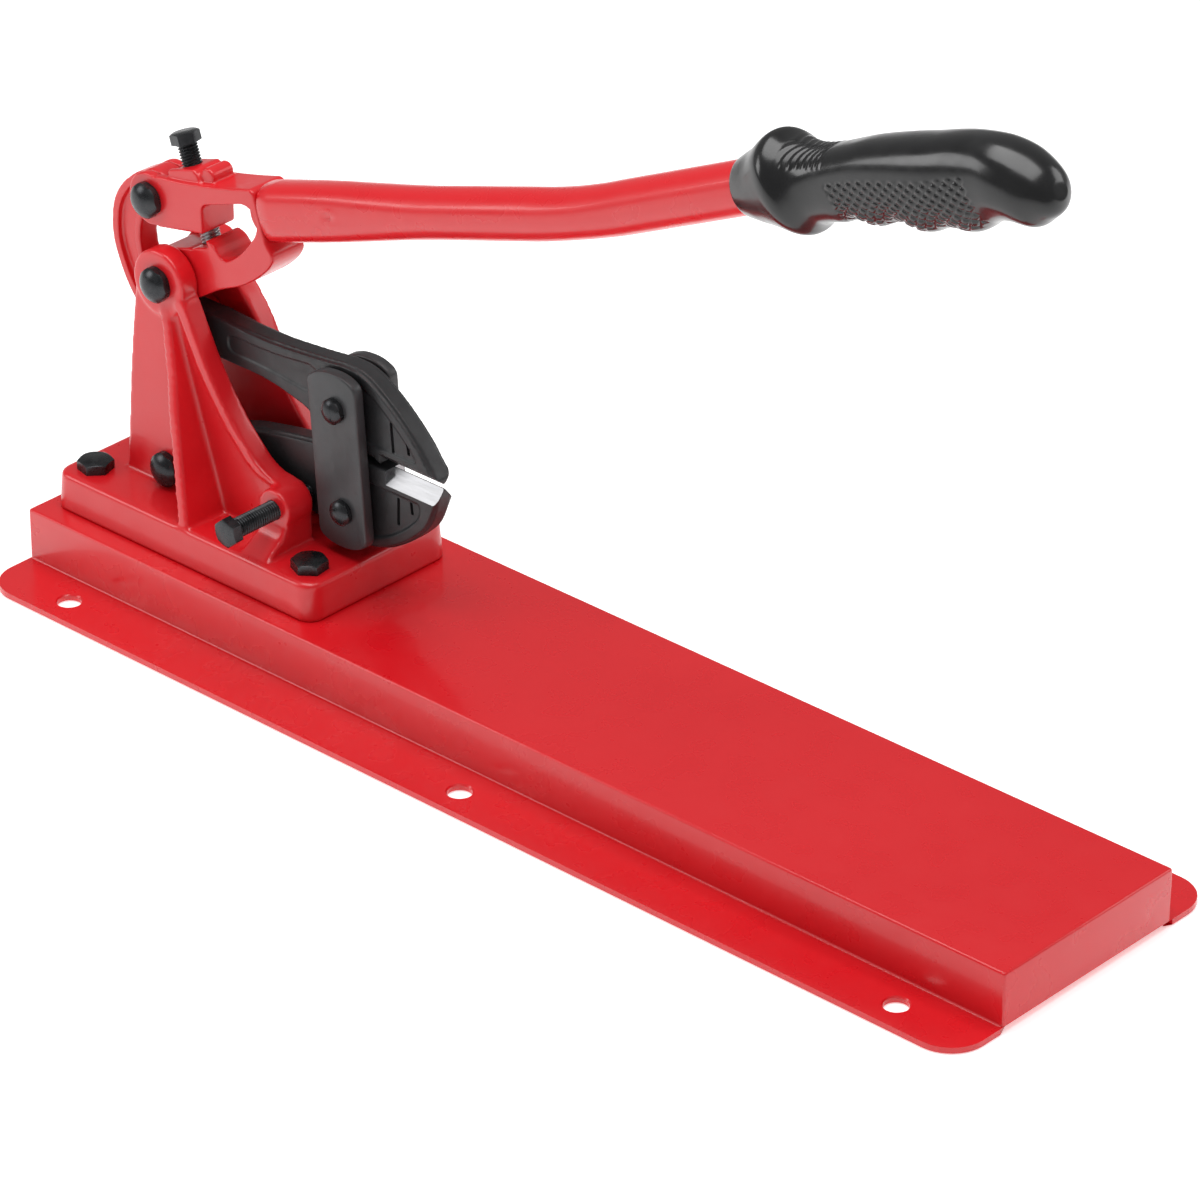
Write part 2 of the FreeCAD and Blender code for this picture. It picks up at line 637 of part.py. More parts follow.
def make_link():
    body = new_body("link")
    pad_outline(body, "bow", from_pivot(LINK_OUTLINE), d.link_thickness)
    pad_disc(body, "upper_eye", link_pin, d.link_boss_radius, d.link_thickness)
    eye_low = jaw_pin[1] - d.link_eye_radius
    eye_high = jaw_pin[1] + d.link_eye_radius
    pad_outline(body, "lower_arm", [(jaw_pin[0] - 21, eye_high + 1), (jaw_pin[0], eye_high), (jaw_pin[0], eye_low),
                                    (jaw_pin[0] - 14, eye_low + 0.5), (jaw_pin[0] - 21, eye_low + 2.5)], d.head_thickness)
    pad_disc(body, "lower_eye", jaw_pin, d.link_eye_radius, d.head_thickness)
    cut_disc(body, "tail_gap", jaw_pin, d.tail_eye_radius + d.jaw_pin_slack + 0.5, tail_gap)
    cut_disc(body, "upper_hole", link_pin, d.jaw_bolt_radius + d.pin_play, d.link_thickness + 2)
    cut_disc(body, "lower_hole", jaw_pin, d.jaw_pin_radius + d.pin_play, d.head_thickness + 2)
    pin = solid("Part::Cylinder", "link_pin", Radius=d.jaw_pin_radius, Height=d.head_thickness)
    place(pin, jaw_pin[0], -d.head_thickness / 2, jaw_pin[1], *TOWARDS_BACK)
    keep(pin, "link_pin")


UPPER_JAW = [(18, -16.2), (54.8, -17.3), (92.8, -13.8), (111.5, -11.3), (123.5, -13.3), (138.5, -22.8),
             (148.1, -30.6), (158, -40.1), (163.5, -47.9), (168, -54)]
UPPER_JAW_UNDER = [(127, -54.5), (107, -56.2), (95.5, -52.2), (91.5, -48.2), (84.5, -41.2), (57.5, -37.7),
                   (18, -37.7)]
LOWER_JAW_TOP = [(-4, -91.7), (18.5, -79.5), (37.5, -69.8), (71.5, -62.8), (90.5, -59.8), (99.5, -58.8)]
LOWER_JAW_UNDER = [(168.3, -63.5), (167, -70.2), (162.6, -81.1), (149.5, -93.7), (134.9, -102.2), (122.5, -105.7),
                   (102.5, -105.2), (89.5, -101.2), (72.5, -98.2), (47.5, -99.7), (22.5, -106.2), (4, -110.4)]
UPPER_EDGE_START = 131.5
LOWER_EDGE_START = 135.5
EDGE_TIP = 168.3


def bevel_cut(body, name, start, edge_height, rise, up):
    # grinds both flanks of a jaw to a cutting edge on the middle plane
    rise = rise * up
    flank = d.jaw_thickness / 2
    for side in (-1, 1):
        drawing = new_sketch(body, "%s_%s" % (name, "front" if side < 0 else "back"), "YZ_Plane", pivot_x + start)
        draw_outline(drawing, [(side * 0.3, edge_height), (side * flank, edge_height + rise),
                               (side * (flank + 2), edge_height + rise), (side * (flank + 2), edge_height - up),
                               (side * 0.3, edge_height - up)])
        pocket(body, drawing, 60, both_ways=False, reverse=True)


def make_upper_jaw():
    body = new_body("upper_jaw")
    edge_z = pivot_z - d.edge_drop + d.jaw_gap / 2
    outline = from_pivot(UPPER_JAW) + [(pivot_x + EDGE_TIP, edge_z), (pivot_x + UPPER_EDGE_START, edge_z)]
    pad_outline(body, "upper_blade", outline + from_pivot(UPPER_JAW_UNDER), d.jaw_thickness)
    tail_top = jaw_pin[1] + d.tail_eye_radius - 0.5
    tail_low = jaw_pin[1] - d.tail_eye_radius + 0.5
    pad_outline(body, "tail", [(jaw_pin[0], tail_low), (pivot_x + 20, pivot_z - 37.6), (pivot_x + 20, pivot_z - 16.3),
                               (jaw_pin[0], tail_top)], d.tail_thickness)
    pad_disc(body, "tail_eye", jaw_pin, d.tail_eye_radius, d.tail_thickness)
    pad_disc(body, "upper_strap_boss", strap_head, d.strap_boss_radius, d.strap_gap)
    bevel_cut(body, "upper_bevel", UPPER_EDGE_START, edge_z, d.upper_bevel, 1)
    cut_disc(body, "tail_hole", jaw_pin, d.jaw_pin_radius + d.jaw_pin_slack, d.tail_thickness + 2)
    cut_disc(body, "upper_strap_hole", strap_head, d.strap_bolt_radius + d.pin_play, d.strap_gap + 2)


def make_lower_jaw():
    body = new_body("lower_jaw")
    edge_z = pivot_z - d.edge_drop - d.jaw_gap / 2
    outline = from_pivot(LOWER_JAW_TOP) + [(pivot_x + 127.5, edge_z - 0.4), (pivot_x + LOWER_EDGE_START, edge_z),
                                           (pivot_x + EDGE_TIP, edge_z)]
    pad_outline(body, "lower_blade", outline + from_pivot(LOWER_JAW_UNDER), d.jaw_thickness)
    pad_disc(body, "fixed_eye", lower_pin, d.lower_eye_radius, cheek_gap - 0.4)
    pad_disc(body, "lower_strap_boss", strap_foot, d.strap_boss_radius, d.strap_gap)
    bevel_cut(body, "lower_bevel", LOWER_EDGE_START, edge_z, d.lower_bevel, -1)
    cut_disc(body, "fixed_hole", lower_pin, d.jaw_bolt_radius + d.pin_play, cheek_gap + 2)
    cut_disc(body, "lower_strap_hole", strap_foot, d.strap_bolt_radius + d.pin_play, d.strap_gap + 2)


def make_strap(label, front):
    # drawn upright with its lower bolt at the origin, then leaned and moved to its side
    body = new_body(label)
    half = d.strap_width / 2
    low = -d.strap_below
    high = d.strap_centres + d.strap_above
    shoulder = 5
    drawing = new_sketch(body, label + "_blank", "XZ_Plane")
    middle = -d.strap_shift
    draw_outline(drawing, [(middle + across, up) for across, up in (
        (-half, low + shoulder), (-half * 0.55, low + 1), (as_size(0), low), (half * 0.55, low + 1),
        (half, low + shoulder), (half, high - shoulder), (half * 0.55, high - 1), (as_size(0), high),
        (-half * 0.55, high - 1), (-half, high - shoulder))])
    pad(body, drawing, d.strap_thickness, both_ways=False)
    for name, up in (("foot", as_size(0)), ("head", d.strap_centres)):
        cut_disc(body, "%s_%s_hole" % (label, name), (as_size(0), up), d.strap_bolt_radius + d.pin_play,
                 d.strap_thickness * 3)
    front_face = -strap_inner if front else strap_outer
    place(body, strap_foot[0], front_face, strap_foot[1], Vector(0, -1, 0), d.strap_tilt)


def make_pins():
    # lever pivot, lower jaw, link and strap bolts, each with its nut at the back
    jobs = [("lever_pivot_bolt", "lever_pivot_nut", (pivot_x, pivot_z), boss_face, d.pivot_radius, d.dome_radius),
            ("lower_jaw_bolt", "lower_jaw_nut", lower_pin, cheek_outer, d.jaw_bolt_radius, d.dome_radius),
            ("link_bolt", "link_nut", link_pin, head_face, d.jaw_bolt_radius, d.dome_radius)]
    for bolt, nut, centre, seat, radius, head_radius in jobs:
        domed_bolt(bolt, centre, seat, seat * 2 + d.nut_thick, radius, head_radius)
        hex_nut(nut, centre, seat, d.nut_thick, (radius + d.nut_land) * 2, radius + d.pin_play)
    for bolt, nut, centre in (("strap_bolt_upper", "strap_nut_upper", strap_head),
                              ("strap_bolt_lower", "strap_nut_lower", strap_foot)):
        domed_bolt(bolt, centre, strap_outer, strap_outer * 2 + d.nut_thick * 0.6, d.strap_bolt_radius,
                   d.strap_dome_radius)
        hex_nut(nut, centre, strap_outer, d.nut_thick * 0.6, (d.strap_bolt_radius + d.small_nut_land) * 2,
                d.strap_bolt_radius + d.pin_play)


make_base()
make_base_fasteners()
make_stand()
make_lever_head()
make_lever_tube()
make_grip()
make_screws()
make_link()
make_upper_jaw()
make_lower_jaw()
make_strap("strap_front", True)
make_strap("strap_back", False)
make_pins()
doc.recompute()

# ---------------------------------------------------------------- checks and files

for thing in doc.Objects:
    if "Invalid" in thing.State or "Error" in thing.State:
        raise RuntimeError("%s failed: %s" % (thing.Label, thing.State))
os.makedirs("parts", exist_ok=True)
for thing in subparts:
    shape = thing.Shape
    if shape.isNull() or not shape.isValid():
        raise RuntimeError("%s has no valid shape" % thing.Label)
for thing in subparts:
    thing.Shape.exportStep(os.path.join("parts", thing.Label + ".step"))
    box = thing.Shape.BoundBox
    print("%-18s %2d solid(s)  X %7.1f %7.1f  Y %6.1f %6.1f  Z %6.1f %6.1f" % (
        thing.Label, len(thing.Shape.Solids), box.XMin, box.XMax, box.YMin, box.YMax, box.ZMin, box.ZMax))
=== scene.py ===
import bmesh
import bpy
import math
from mathutils import Matrix, Vector


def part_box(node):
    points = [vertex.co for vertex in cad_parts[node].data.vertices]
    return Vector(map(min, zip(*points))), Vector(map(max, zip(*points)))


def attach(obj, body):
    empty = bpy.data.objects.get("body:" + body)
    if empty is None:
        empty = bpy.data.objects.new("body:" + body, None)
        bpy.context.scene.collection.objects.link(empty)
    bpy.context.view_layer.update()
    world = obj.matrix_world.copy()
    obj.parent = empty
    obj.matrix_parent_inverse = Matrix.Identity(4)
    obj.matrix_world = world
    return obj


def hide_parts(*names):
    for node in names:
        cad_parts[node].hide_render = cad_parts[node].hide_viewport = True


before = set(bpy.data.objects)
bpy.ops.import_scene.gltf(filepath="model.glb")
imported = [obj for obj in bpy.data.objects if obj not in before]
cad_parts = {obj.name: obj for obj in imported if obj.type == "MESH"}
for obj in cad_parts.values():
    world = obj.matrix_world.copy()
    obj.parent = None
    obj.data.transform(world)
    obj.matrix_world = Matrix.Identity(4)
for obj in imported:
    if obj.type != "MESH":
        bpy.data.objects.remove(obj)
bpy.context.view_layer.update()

# Bench-mounted bolt cutter. Metres, +Z up; sizes below are in millimetres until they are placed.
mm = 0.001


def centreOf(node):
    low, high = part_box(node)
    return (low[0] + high[0]) / 2 / mm, (low[2] + high[2]) / 2 / mm


pivot = centreOf("lever_pivot_bolt")
linkPin = centreOf("link_bolt")
jawPin = centreOf("link_pin")
lowerPin = centreOf("lower_jaw_bolt")
strapHead = centreOf("strap_bolt_upper")
strapFoot = centreOf("strap_bolt_lower")
clampAxis = centreOf("clamp_screw")


# radii of the holes; the slack one is the upper jaw's, round the link's lower pin
boreRadius = {"pivot": 6.15, "bolt": 5.15, "linkPin": 5.05, "lowerJaw": 5.1, "strap": 4.6, "slack": 7.9}


def fromPivot(offsets):
    # outline corners given as (along, up) from the lever pivot, with an optional corner size
    return [(pivot[0] + corner[0], pivot[1] + corner[1]) + tuple(corner[2:]) for corner in offsets]


def newFinish(name, colour, metallic, roughness, coat=0.0, coatRoughness=0.1):
    finish = bpy.data.materials.new(name)
    finish.use_nodes = True
    shader = finish.node_tree.nodes["Principled BSDF"]
    shader.inputs["Base Color"].default_value = (*colour, 1)
    shader.inputs["Metallic"].default_value = metallic
    shader.inputs["Roughness"].default_value = roughness
    shader.inputs["Coat Weight"].default_value = coat
    shader.inputs["Coat Roughness"].default_value = coatRoughness
    place = finish.node_tree.nodes.new("ShaderNodeTexCoord")
    return finish, shader, place


def noiseOn(finish, place, scale, detail=3.0, stretch=(1, 1, 1)):
    nodes, links = finish.node_tree.nodes, finish.node_tree.links
    mapping = nodes.new("ShaderNodeMapping")
    mapping.inputs["Scale"].default_value = stretch
    noise = nodes.new("ShaderNodeTexNoise")
    noise.inputs["Scale"].default_value = scale
    noise.inputs["Detail"].default_value = detail
    links.new(place.outputs["Object"], mapping.inputs["Vector"])
    links.new(mapping.outputs["Vector"], noise.inputs["Vector"])
    return noise.outputs["Fac"]


def spread(finish, value, low, high, fromLow=0.2, fromHigh=0.8):
    ramp = finish.node_tree.nodes.new("ShaderNodeMapRange")
    ramp.interpolation_type = "SMOOTHSTEP"
    ramp.inputs["From Min"].default_value = fromLow
    ramp.inputs["From Max"].default_value = fromHigh
    ramp.inputs["To Min"].default_value = low
    ramp.inputs["To Max"].default_value = high
    finish.node_tree.links.new(value, ramp.inputs["Value"])
    return ramp.outputs["Result"]


def twoTone(finish, value, shader, dark, light):
    nodes, links = finish.node_tree.nodes, finish.node_tree.links
    mix = nodes.new("ShaderNodeMix")
    mix.data_type = "RGBA"
    mix.inputs["A"].default_value = (*dark, 1)
    mix.inputs["B"].default_value = (*light, 1)
    links.new(value, mix.inputs["Factor"])
    links.new(mix.outputs["Result"], shader.inputs["Base Color"])


def bumpFrom(finish, shader, layers):
    # layers are (height value, distance in millimetres), chained from coarse to fine
    nodes, links = finish.node_tree.nodes, finish.node_tree.links
    last = None
    for value, distance in layers:
        bump = nodes.new("ShaderNodeBump")
        bump.inputs["Strength"].default_value = 1.0
        bump.inputs["Distance"].default_value = distance * mm
        links.new(value, bump.inputs["Height"])
        if last is not None:
            links.new(last.outputs["Normal"], bump.inputs["Normal"])
        last = bump
    links.new(last.outputs["Normal"], shader.inputs["Normal"])


def mottle(finish, shader, place, cloud, dark, light, rough, bumps):
    # cloud is (scale, detail), rough is (scale, low, high), a bump is (scale, detail, millimetres)
    twoTone(finish, spread(finish, noiseOn(finish, place, *cloud), 0, 1), shader, dark, light)
    scale, low, high = rough
    dulled = spread(finish, noiseOn(finish, place, scale), low, high)
    finish.node_tree.links.new(dulled, shader.inputs["Roughness"])
    bumpFrom(finish, shader, [(noiseOn(finish, place, grain, detail), distance)
                              for grain, detail, distance in bumps])
    return finish


def makeRedSheet():
    # gloss enamel on smooth sheet: nearly flat, with a faint orange peel
    plain = newFinish("redEnamelSheet", (0.68, 0.008, 0.014), 0.0, 0.34, 0.3, 0.08)
    return mottle(*plain, (9, 2), (0.65, 0.006, 0.012), (0.69, 0.009, 0.015), (60, 0.24, 0.34),
                  [(45, 1, 0.006), (420, 2, 0.0025)])


def makeRedCasting():
    # the same enamel over sand-cast iron: soft lumps and pores show through it
    plain = newFinish("redEnamelCasting", (0.66, 0.008, 0.014), 0.0, 0.34, 0.3, 0.1)
    return mottle(*plain, (14, 3), (0.63, 0.006, 0.012), (0.7, 0.01, 0.016), (90, 0.27, 0.38),
                  [(110, 2, 0.11), (700, 3, 0.03)])


def makeForgedBlack():
    # satin black over drop-forged steel with a fine hammered skin
    plain = newFinish("blackForgedSteel", (0.018, 0.0185, 0.02), 0.0, 0.42)
    return mottle(*plain, (40, 4), (0.014, 0.0145, 0.016), (0.027, 0.028, 0.03), (150, 0.36, 0.5),
                  [(160, 3, 0.14), (900, 4, 0.05)])


def makeStrapBlack():
    # phosphated strap steel, flatter and greyer than the forgings
    plain = newFinish("blackStrapSteel", (0.036, 0.037, 0.039), 0.0, 0.42)
    return mottle(*plain, (55, 4), (0.032, 0.033, 0.035), (0.045, 0.046, 0.049), (200, 0.36, 0.46),
                  [(1200, 4, 0.03)])


def makeFastenerBlack():
    # black oxide: thin, dark and glossy over turned steel
    plain = newFinish("blackOxideFastener", (0.035, 0.036, 0.039), 0.75, 0.26)
    return mottle(*plain, (130, 3), (0.022, 0.023, 0.026), (0.055, 0.057, 0.06), (260, 0.2, 0.36),
                  [(1500, 2, 0.012)])


def makeBrightSteel(name, stretch, roughLow, roughHigh):
    # ground or turned steel with fine tool marks in one direction
    finish, shader, place = newFinish(name, (0.36, 0.36, 0.37), 1.0, 0.3)
    marks = noiseOn(finish, place, 260, 5, stretch)
    twoTone(finish, spread(finish, marks, 0, 1), shader, (0.3, 0.3, 0.31), (0.44, 0.44, 0.45))
    finish.node_tree.links.new(spread(finish, marks, roughLow, roughHigh), shader.inputs["Roughness"])
    bumpFrom(finish, shader, [(marks, 0.02)])
    return finish


def makeGripBlack():
    # dipped vinyl: deep black and shiny, with a very faint ripple
    plain = newFinish("blackVinylGrip", (0.007, 0.007, 0.0075), 0.0, 0.2, 0.15, 0.08)
    return mottle(*plain, (70, 3), (0.006, 0.006, 0.0065), (0.01, 0.01, 0.0105), (120, 0.17, 0.28),
                  [(38, 2, 0.07), (800, 3, 0.008)])


print("finishes")
redSheet = makeRedSheet()
redCasting = makeRedCasting()
forgedBlack = makeForgedBlack()
strapBlack = makeStrapBlack()
fastenerBlack = makeFastenerBlack()
groundSteel = makeBrightSteel("groundEdgeSteel", (0.25, 3, 3), 0.28, 0.42)
threadSteel = makeBrightSteel("turnedThreadSteel", (1, 1, 1), 0.22, 0.36)
gripBlack = makeGripBlack()


def bakeDown(piece):
    # turns the piece's modifiers into its mesh
    view = bpy.context.evaluated_depsgraph_get()
    made = bpy.data.meshes.new_from_object(piece.evaluated_get(view))
    piece.modifiers.clear()
    old = piece.data
    piece.data = made
    bpy.data.meshes.remove(old)


def discard(piece):
    spare = piece.data
    bpy.data.objects.remove(piece)
    bpy.data.meshes.remove(spare)


def toObject(shape, name, finish, openSkin=False):
    if not openSkin:  # an open skin keeps the side it already faces
        bmesh.ops.recalc_face_normals(shape, faces=shape.faces[:])
    mesh = bpy.data.meshes.new(name)
    shape.to_mesh(mesh)
    shape.free()
    mesh.materials.append(finish)
    piece = bpy.data.objects.new(name, mesh)
    bpy.context.scene.collection.objects.link(piece)
    return piece


def settle(piece, body, node, sharpDegrees):
    # names the body it rides on, the CAD node it stands for, and which edges look sharp
    piece.data.polygons.foreach_set("use_smooth", [True] * len(piece.data.polygons))
    piece.data.set_sharp_from_angle(angle=math.radians(sharpDegrees))
    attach(piece, body)
    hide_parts(node)


def toMetres(shape):
    bmesh.ops.scale(shape, vec=(mm, mm, mm), verts=shape.verts[:])
    return shape


def addTo(shape, other):
    # copies another bmesh into this one
    scratch = bpy.data.meshes.new("scratch")
    other.to_mesh(scratch)
    other.free()
    shape.from_mesh(scratch)
    bpy.data.meshes.remove(scratch)
    return shape


def vertsOf(grown):
    return [item for item in grown["geom"] if isinstance(item, bmesh.types.BMVert)]


def roundBevel(shape, picked, size, segments, affect="EDGES"):
    return bmesh.ops.bevel(shape, geom=picked, offset=size, offset_type="OFFSET", segments=segments,
                           profile=0.5, affect=affect, material=-1, clamp_overlap=True)


def outlineBlock(corners, low, high, segments=5):
    # a flat outline in X and Z, its corners rounded, drawn out along Y
    shape = bmesh.new()
    verts = [shape.verts.new((corner[0], low, corner[1])) for corner in corners]
    shape.faces.new(verts)
    slides = []
    for vert, corner in zip(verts, corners):
        room = 0.46 * min(edge.calc_length() for edge in vert.link_edges)
        slides.append(room if len(corner) == 2 else min(room, corner[2]))
    for vert, slide in zip(verts, slides):
        if slide > 0:
            roundBevel(shape, [vert], slide, segments, "VERTICES")
    grown = bmesh.ops.extrude_face_region(shape, geom=shape.faces[:])
    bmesh.ops.translate(shape, vec=(0, high - low, 0), verts=vertsOf(grown))
    bmesh.ops.recalc_face_normals(shape, faces=shape.faces[:])
    return shape


def disc(centre, radius, low, high, segments=64, farRadius=None):
    # a round along Y; farRadius tapers its high end
    shape = bmesh.new()
    bmesh.ops.create_cone(shape, cap_ends=True, segments=segments, radius1=radius,
                          radius2=radius if farRadius is None else farRadius, depth=high - low)
    bmesh.ops.rotate(shape, cent=(0, 0, 0), matrix=Matrix.Rotation(math.radians(-90), 3, "X"),
                     verts=shape.verts[:])
    bmesh.ops.translate(shape, vec=(centre[0], (low + high) / 2, centre[1]), verts=shape.verts[:])
    return shape


def bothSides(shape):
    # adds the mirror image across the middle plane
    twin = shape.copy()
    bmesh.ops.scale(twin, vec=(1, -1, 1), verts=twin.verts[:])
    bmesh.ops.reverse_faces(twin, faces=twin.faces[:])
    return addTo(shape, twin)


def cut(piece, cutter, operation="DIFFERENCE", finish=None):
    # carves the piece with another solid in millimetres; the cut faces take the cutter's finish
    tool = toObject(toMetres(cutter), "cutter", finish or piece.data.materials[0])
    carve = piece.modifiers.new("carve", "BOOLEAN")
    carve.operation = operation
    carve.solver = "EXACT"
    carve.object = tool
    carve.material_mode = "TRANSFER"
    bakeDown(piece)
    discard(tool)


def soften(piece, voxel, rounds, factor=0.5):
    # joins overlapping solids into one skin and rounds every edge and inside corner, as a casting has
    remesh = piece.modifiers.new("oneSkin", "REMESH")
    remesh.mode = "VOXEL"
    remesh.voxel_size = voxel * mm
    smooth = piece.modifiers.new("roundOff", "SMOOTH")
    smooth.factor = factor
    smooth.iterations = rounds
    bakeDown(piece)


def lathe(profile, steps=48):
    # profile is (radius, height) from one end of the axis to the other; turned about Z
    shape = bmesh.new()
    verts = [shape.verts.new((radius, 0, height)) for radius, height in profile]
    edges = [shape.edges.new(pair) for pair in zip(verts, verts[1:])]
    bmesh.ops.spin(shape, geom=verts + edges, cent=(0, 0, 0), axis=(0, 0, 1), angle=math.tau, steps=steps,
                   use_merge=True, use_duplicate=False)
    bmesh.ops.remove_doubles(shape, verts=shape.verts[:], dist=0.0005)
    bmesh.ops.recalc_face_normals(shape, faces=shape.faces[:])
    return shape


def moved(shape, matrix):
    bmesh.ops.transform(shape, matrix=matrix, verts=shape.verts[:])
    return shape


def towardsFront(x, y, z):
    # stands a shape made up the Z axis out of a front (-Y) face
    return Matrix.Translation((x, y, z)) @ Matrix.Rotation(math.radians(90), 4, "X")


def towardsBack(x, y, z):
    return Matrix.Translation((x, y, z)) @ Matrix.Rotation(math.radians(-90), 4, "X")


def cornerRadius(across):
    # of a hexagon, from its size across the flats
    return across / 2 / math.cos(math.radians(30))


def hexBlank(across, low, high, turn):
    # a hexagonal prism up Z
    shape = bmesh.new()
    bmesh.ops.create_cone(shape, cap_ends=True, segments=6, radius1=cornerRadius(across),
                          radius2=cornerRadius(across), depth=high - low)
    bmesh.ops.rotate(shape, cent=(0, 0, 0), matrix=Matrix.Rotation(turn, 3, "Z"), verts=shape.verts[:])
    bmesh.ops.translate(shape, vec=(0, 0, (low + high) / 2), verts=shape.verts[:])
    return shape


def turnedHex(profile, across, height, turn):
    # a turned blank cut to a hexagon, which leaves the curved chamfers of a real head or nut
    blank = toObject(toMetres(lathe(profile, 72)), "blank", fastenerBlack)
    cut(blank, hexBlank(across, -1, height, turn), "INTERSECT")
    shape = bmesh.new()
    shape.from_mesh(blank.data)
    discard(blank)
    bmesh.ops.scale(shape, vec=(1 / mm, 1 / mm, 1 / mm), verts=shape.verts[:])
    return shape


def chamferedHex(across, thick, bothFaces, turn):
    corner = cornerRadius(across)
    face = across / 2 * 0.94
    slope = (corner - face) * 0.5
    low = [(0, 0), (face, 0), (corner, slope)] if bothFaces else [(0, 0), (corner, 0)]
    high = [(corner, thick - slope), (face, thick), (0, thick)]
    return turnedHex(low + high, across, thick + 1, turn)


def threadedRod(radius, pitch, low, high, depth=0.75, stepsPerTurn=20):
    # one pitch of thread flank, spun up Z as a helix, then trimmed square at both ends
    shape = bmesh.new()
    root = radius - depth
    flank = [(root, 0), (root + depth * 0.1, 0.12), (radius, 0.42), (radius, 0.58),
             (root + depth * 0.1, 0.88), (root, 1)]
    verts = [shape.verts.new((across, 0, low + (up - 2) * pitch)) for across, up in flank]
    edges = [shape.edges.new(pair) for pair in zip(verts, verts[1:])]
    turns = math.ceil((high - low) / pitch) + 3
    bmesh.ops.spin(shape, geom=verts + edges, cent=(0, 0, 0), axis=(0, 0, 1),
                   dvec=(0, 0, pitch / stepsPerTurn), angle=math.tau * turns, steps=turns * stepsPerTurn,
                   use_merge=False, use_duplicate=False)
    bmesh.ops.remove_doubles(shape, verts=shape.verts[:], dist=0.002)
    for height, way in ((low, -1), (high, 1)):
        trimmed = bmesh.ops.bisect_plane(shape, geom=shape.verts[:] + shape.edges[:] + shape.faces[:],
                                         plane_co=(0, 0, height), plane_no=(0, 0, way), clear_outer=True)
        rim = [item for item in trimmed["geom_cut"] if isinstance(item, bmesh.types.BMEdge)]
        bmesh.ops.edgeloop_fill(shape, edges=rim)
    bmesh.ops.recalc_face_normals(shape, faces=shape.faces[:])
    return shape


print("base sheet")
baseSheet = {"gauge": 3.0, "topFold": 4.6, "footFold": 4.5, "cornerFold": 1.4, "flangeCorner": 19.0,
             "holeRadius": 6.0, "holeFlare": 0.9, "holeEnd": 46.0, "holeEdge": 15.0, "channelWidth": 118.0}


def makeBase():
    low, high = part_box("base_plate")
    halfLong, halfWide, tall = high[0] / mm, high[1] / mm, high[2] / mm
    halfChannel = baseSheet["channelWidth"] / 2
    gauge = baseSheet["gauge"]
    shape = bmesh.new()
    bmesh.ops.create_cube(shape, size=1)
    bmesh.ops.scale(shape, vec=(halfLong * 2, halfChannel * 2, tall - gauge), verts=shape.verts[:])
    bmesh.ops.translate(shape, vec=(0, 0, gauge + (tall - gauge) / 2), verts=shape.verts[:])
    floor = [face for face in shape.faces if face.normal.z < -0.5]
    bmesh.ops.delete(shape, geom=floor, context="FACES_ONLY")
    for side in (-1, 1):
        foot = [edge for edge in shape.edges
                if all(abs(vert.co.y - side * halfChannel) < 0.1 and vert.co.z < gauge + 0.1
                       for vert in edge.verts)]
        grown = bmesh.ops.extrude_edge_only(shape, edges=foot)
        outer = vertsOf(grown)
        bmesh.ops.translate(shape, vec=(0, side * (halfWide - halfChannel), 0), verts=outer)
        roundBevel(shape, outer, baseSheet["flangeCorner"], 10, "VERTICES")
    uprights = [edge for edge in shape.edges if abs(edge.verts[0].co.z - edge.verts[1].co.z) > 10]
    roundBevel(shape, uprights, baseSheet["cornerFold"], 3)
    rim = [edge for edge in shape.edges if all(vert.co.z > tall - 0.1 for vert in edge.verts)]
    roundBevel(shape, rim, baseSheet["topFold"], 5)
    feet = [edge for edge in shape.edges if len(edge.link_faces) == 2
            and all(abs(abs(vert.co.y) - halfChannel) < 0.1 and vert.co.z < gauge + 0.1
                    for vert in edge.verts)]
    roundBevel(shape, feet, baseSheet["footFold"], 4)
    bmesh.ops.recalc_face_normals(shape, faces=shape.faces[:])
    if max(shape.faces, key=lambda face: face.calc_area()).normal.z < 0:
        bmesh.ops.reverse_faces(shape, faces=shape.faces[:])
    piece = toObject(toMetres(shape), "foldedBase", redSheet, openSkin=True)
    wall = piece.modifiers.new("gauge", "SOLIDIFY")
    wall.thickness = gauge * mm
    wall.offset = -1
    wall.use_even_offset = True
    bakeDown(piece)
    for vert in piece.data.vertices:
        vert.co.z = max(vert.co.z, 0.0)
    drills = bmesh.new()
    radius = baseSheet["holeRadius"]
    mouth = radius + baseSheet["holeFlare"]
    for along in (-1, 0, 1):
        for side in (-1, 1):
            hole = lathe([(0, -2), (radius, -2), (radius, gauge - 0.7), (mouth, gauge + 0.2),
                          (mouth, gauge + 3), (0, gauge + 3)], 48)
            spot = (along * (halfLong - baseSheet["holeEnd"]), side * (halfWide - baseSheet["holeEdge"]), 0)
            addTo(drills, moved(hole, Matrix.Translation(spot)))
    cut(piece, drills)
    settle(piece, "stand", "base_plate", 30)


makeBase()


print("cast stand")
stand = {"voxel": 1.1, "rounds": 6, "corner": 9.0, "crown": 2.2, "draft": 0.985, "cheekInner": 11.5,
         "cheekOuter": 20.5, "bossRadius": 17.0, "bossFace": 22.5, "ribThick": 6.5, "ribLean": -0.3245,
         "rimProud": 2.6, "rimWide": 6.0, "clampRadius": 10.3, "clampFace": 30.0, "wellDeep": 3.5,
         "floorZ": pivot[1] - 110.5}
cheekRear = [(-23.5, -44.5), (-17, 1.5, 3)]
cheekFront = [(16.7, -3, 3), (23.7, -17.6), (35.1, -40.6), (51.3, -61.9), (65.8, -75.7), (74.5, -79.5),
              (83.5, -79.5, 5), (90, -86, 5)]
rearCheekFront = [(16.7, -3, 3), (29.7, -17.6), (42.6, -40.6), (58.3, -61.9), (70.3, -75.7), (74.5, -79.5),
                  (83.5, -79.5, 5), (90, -86, 5)]


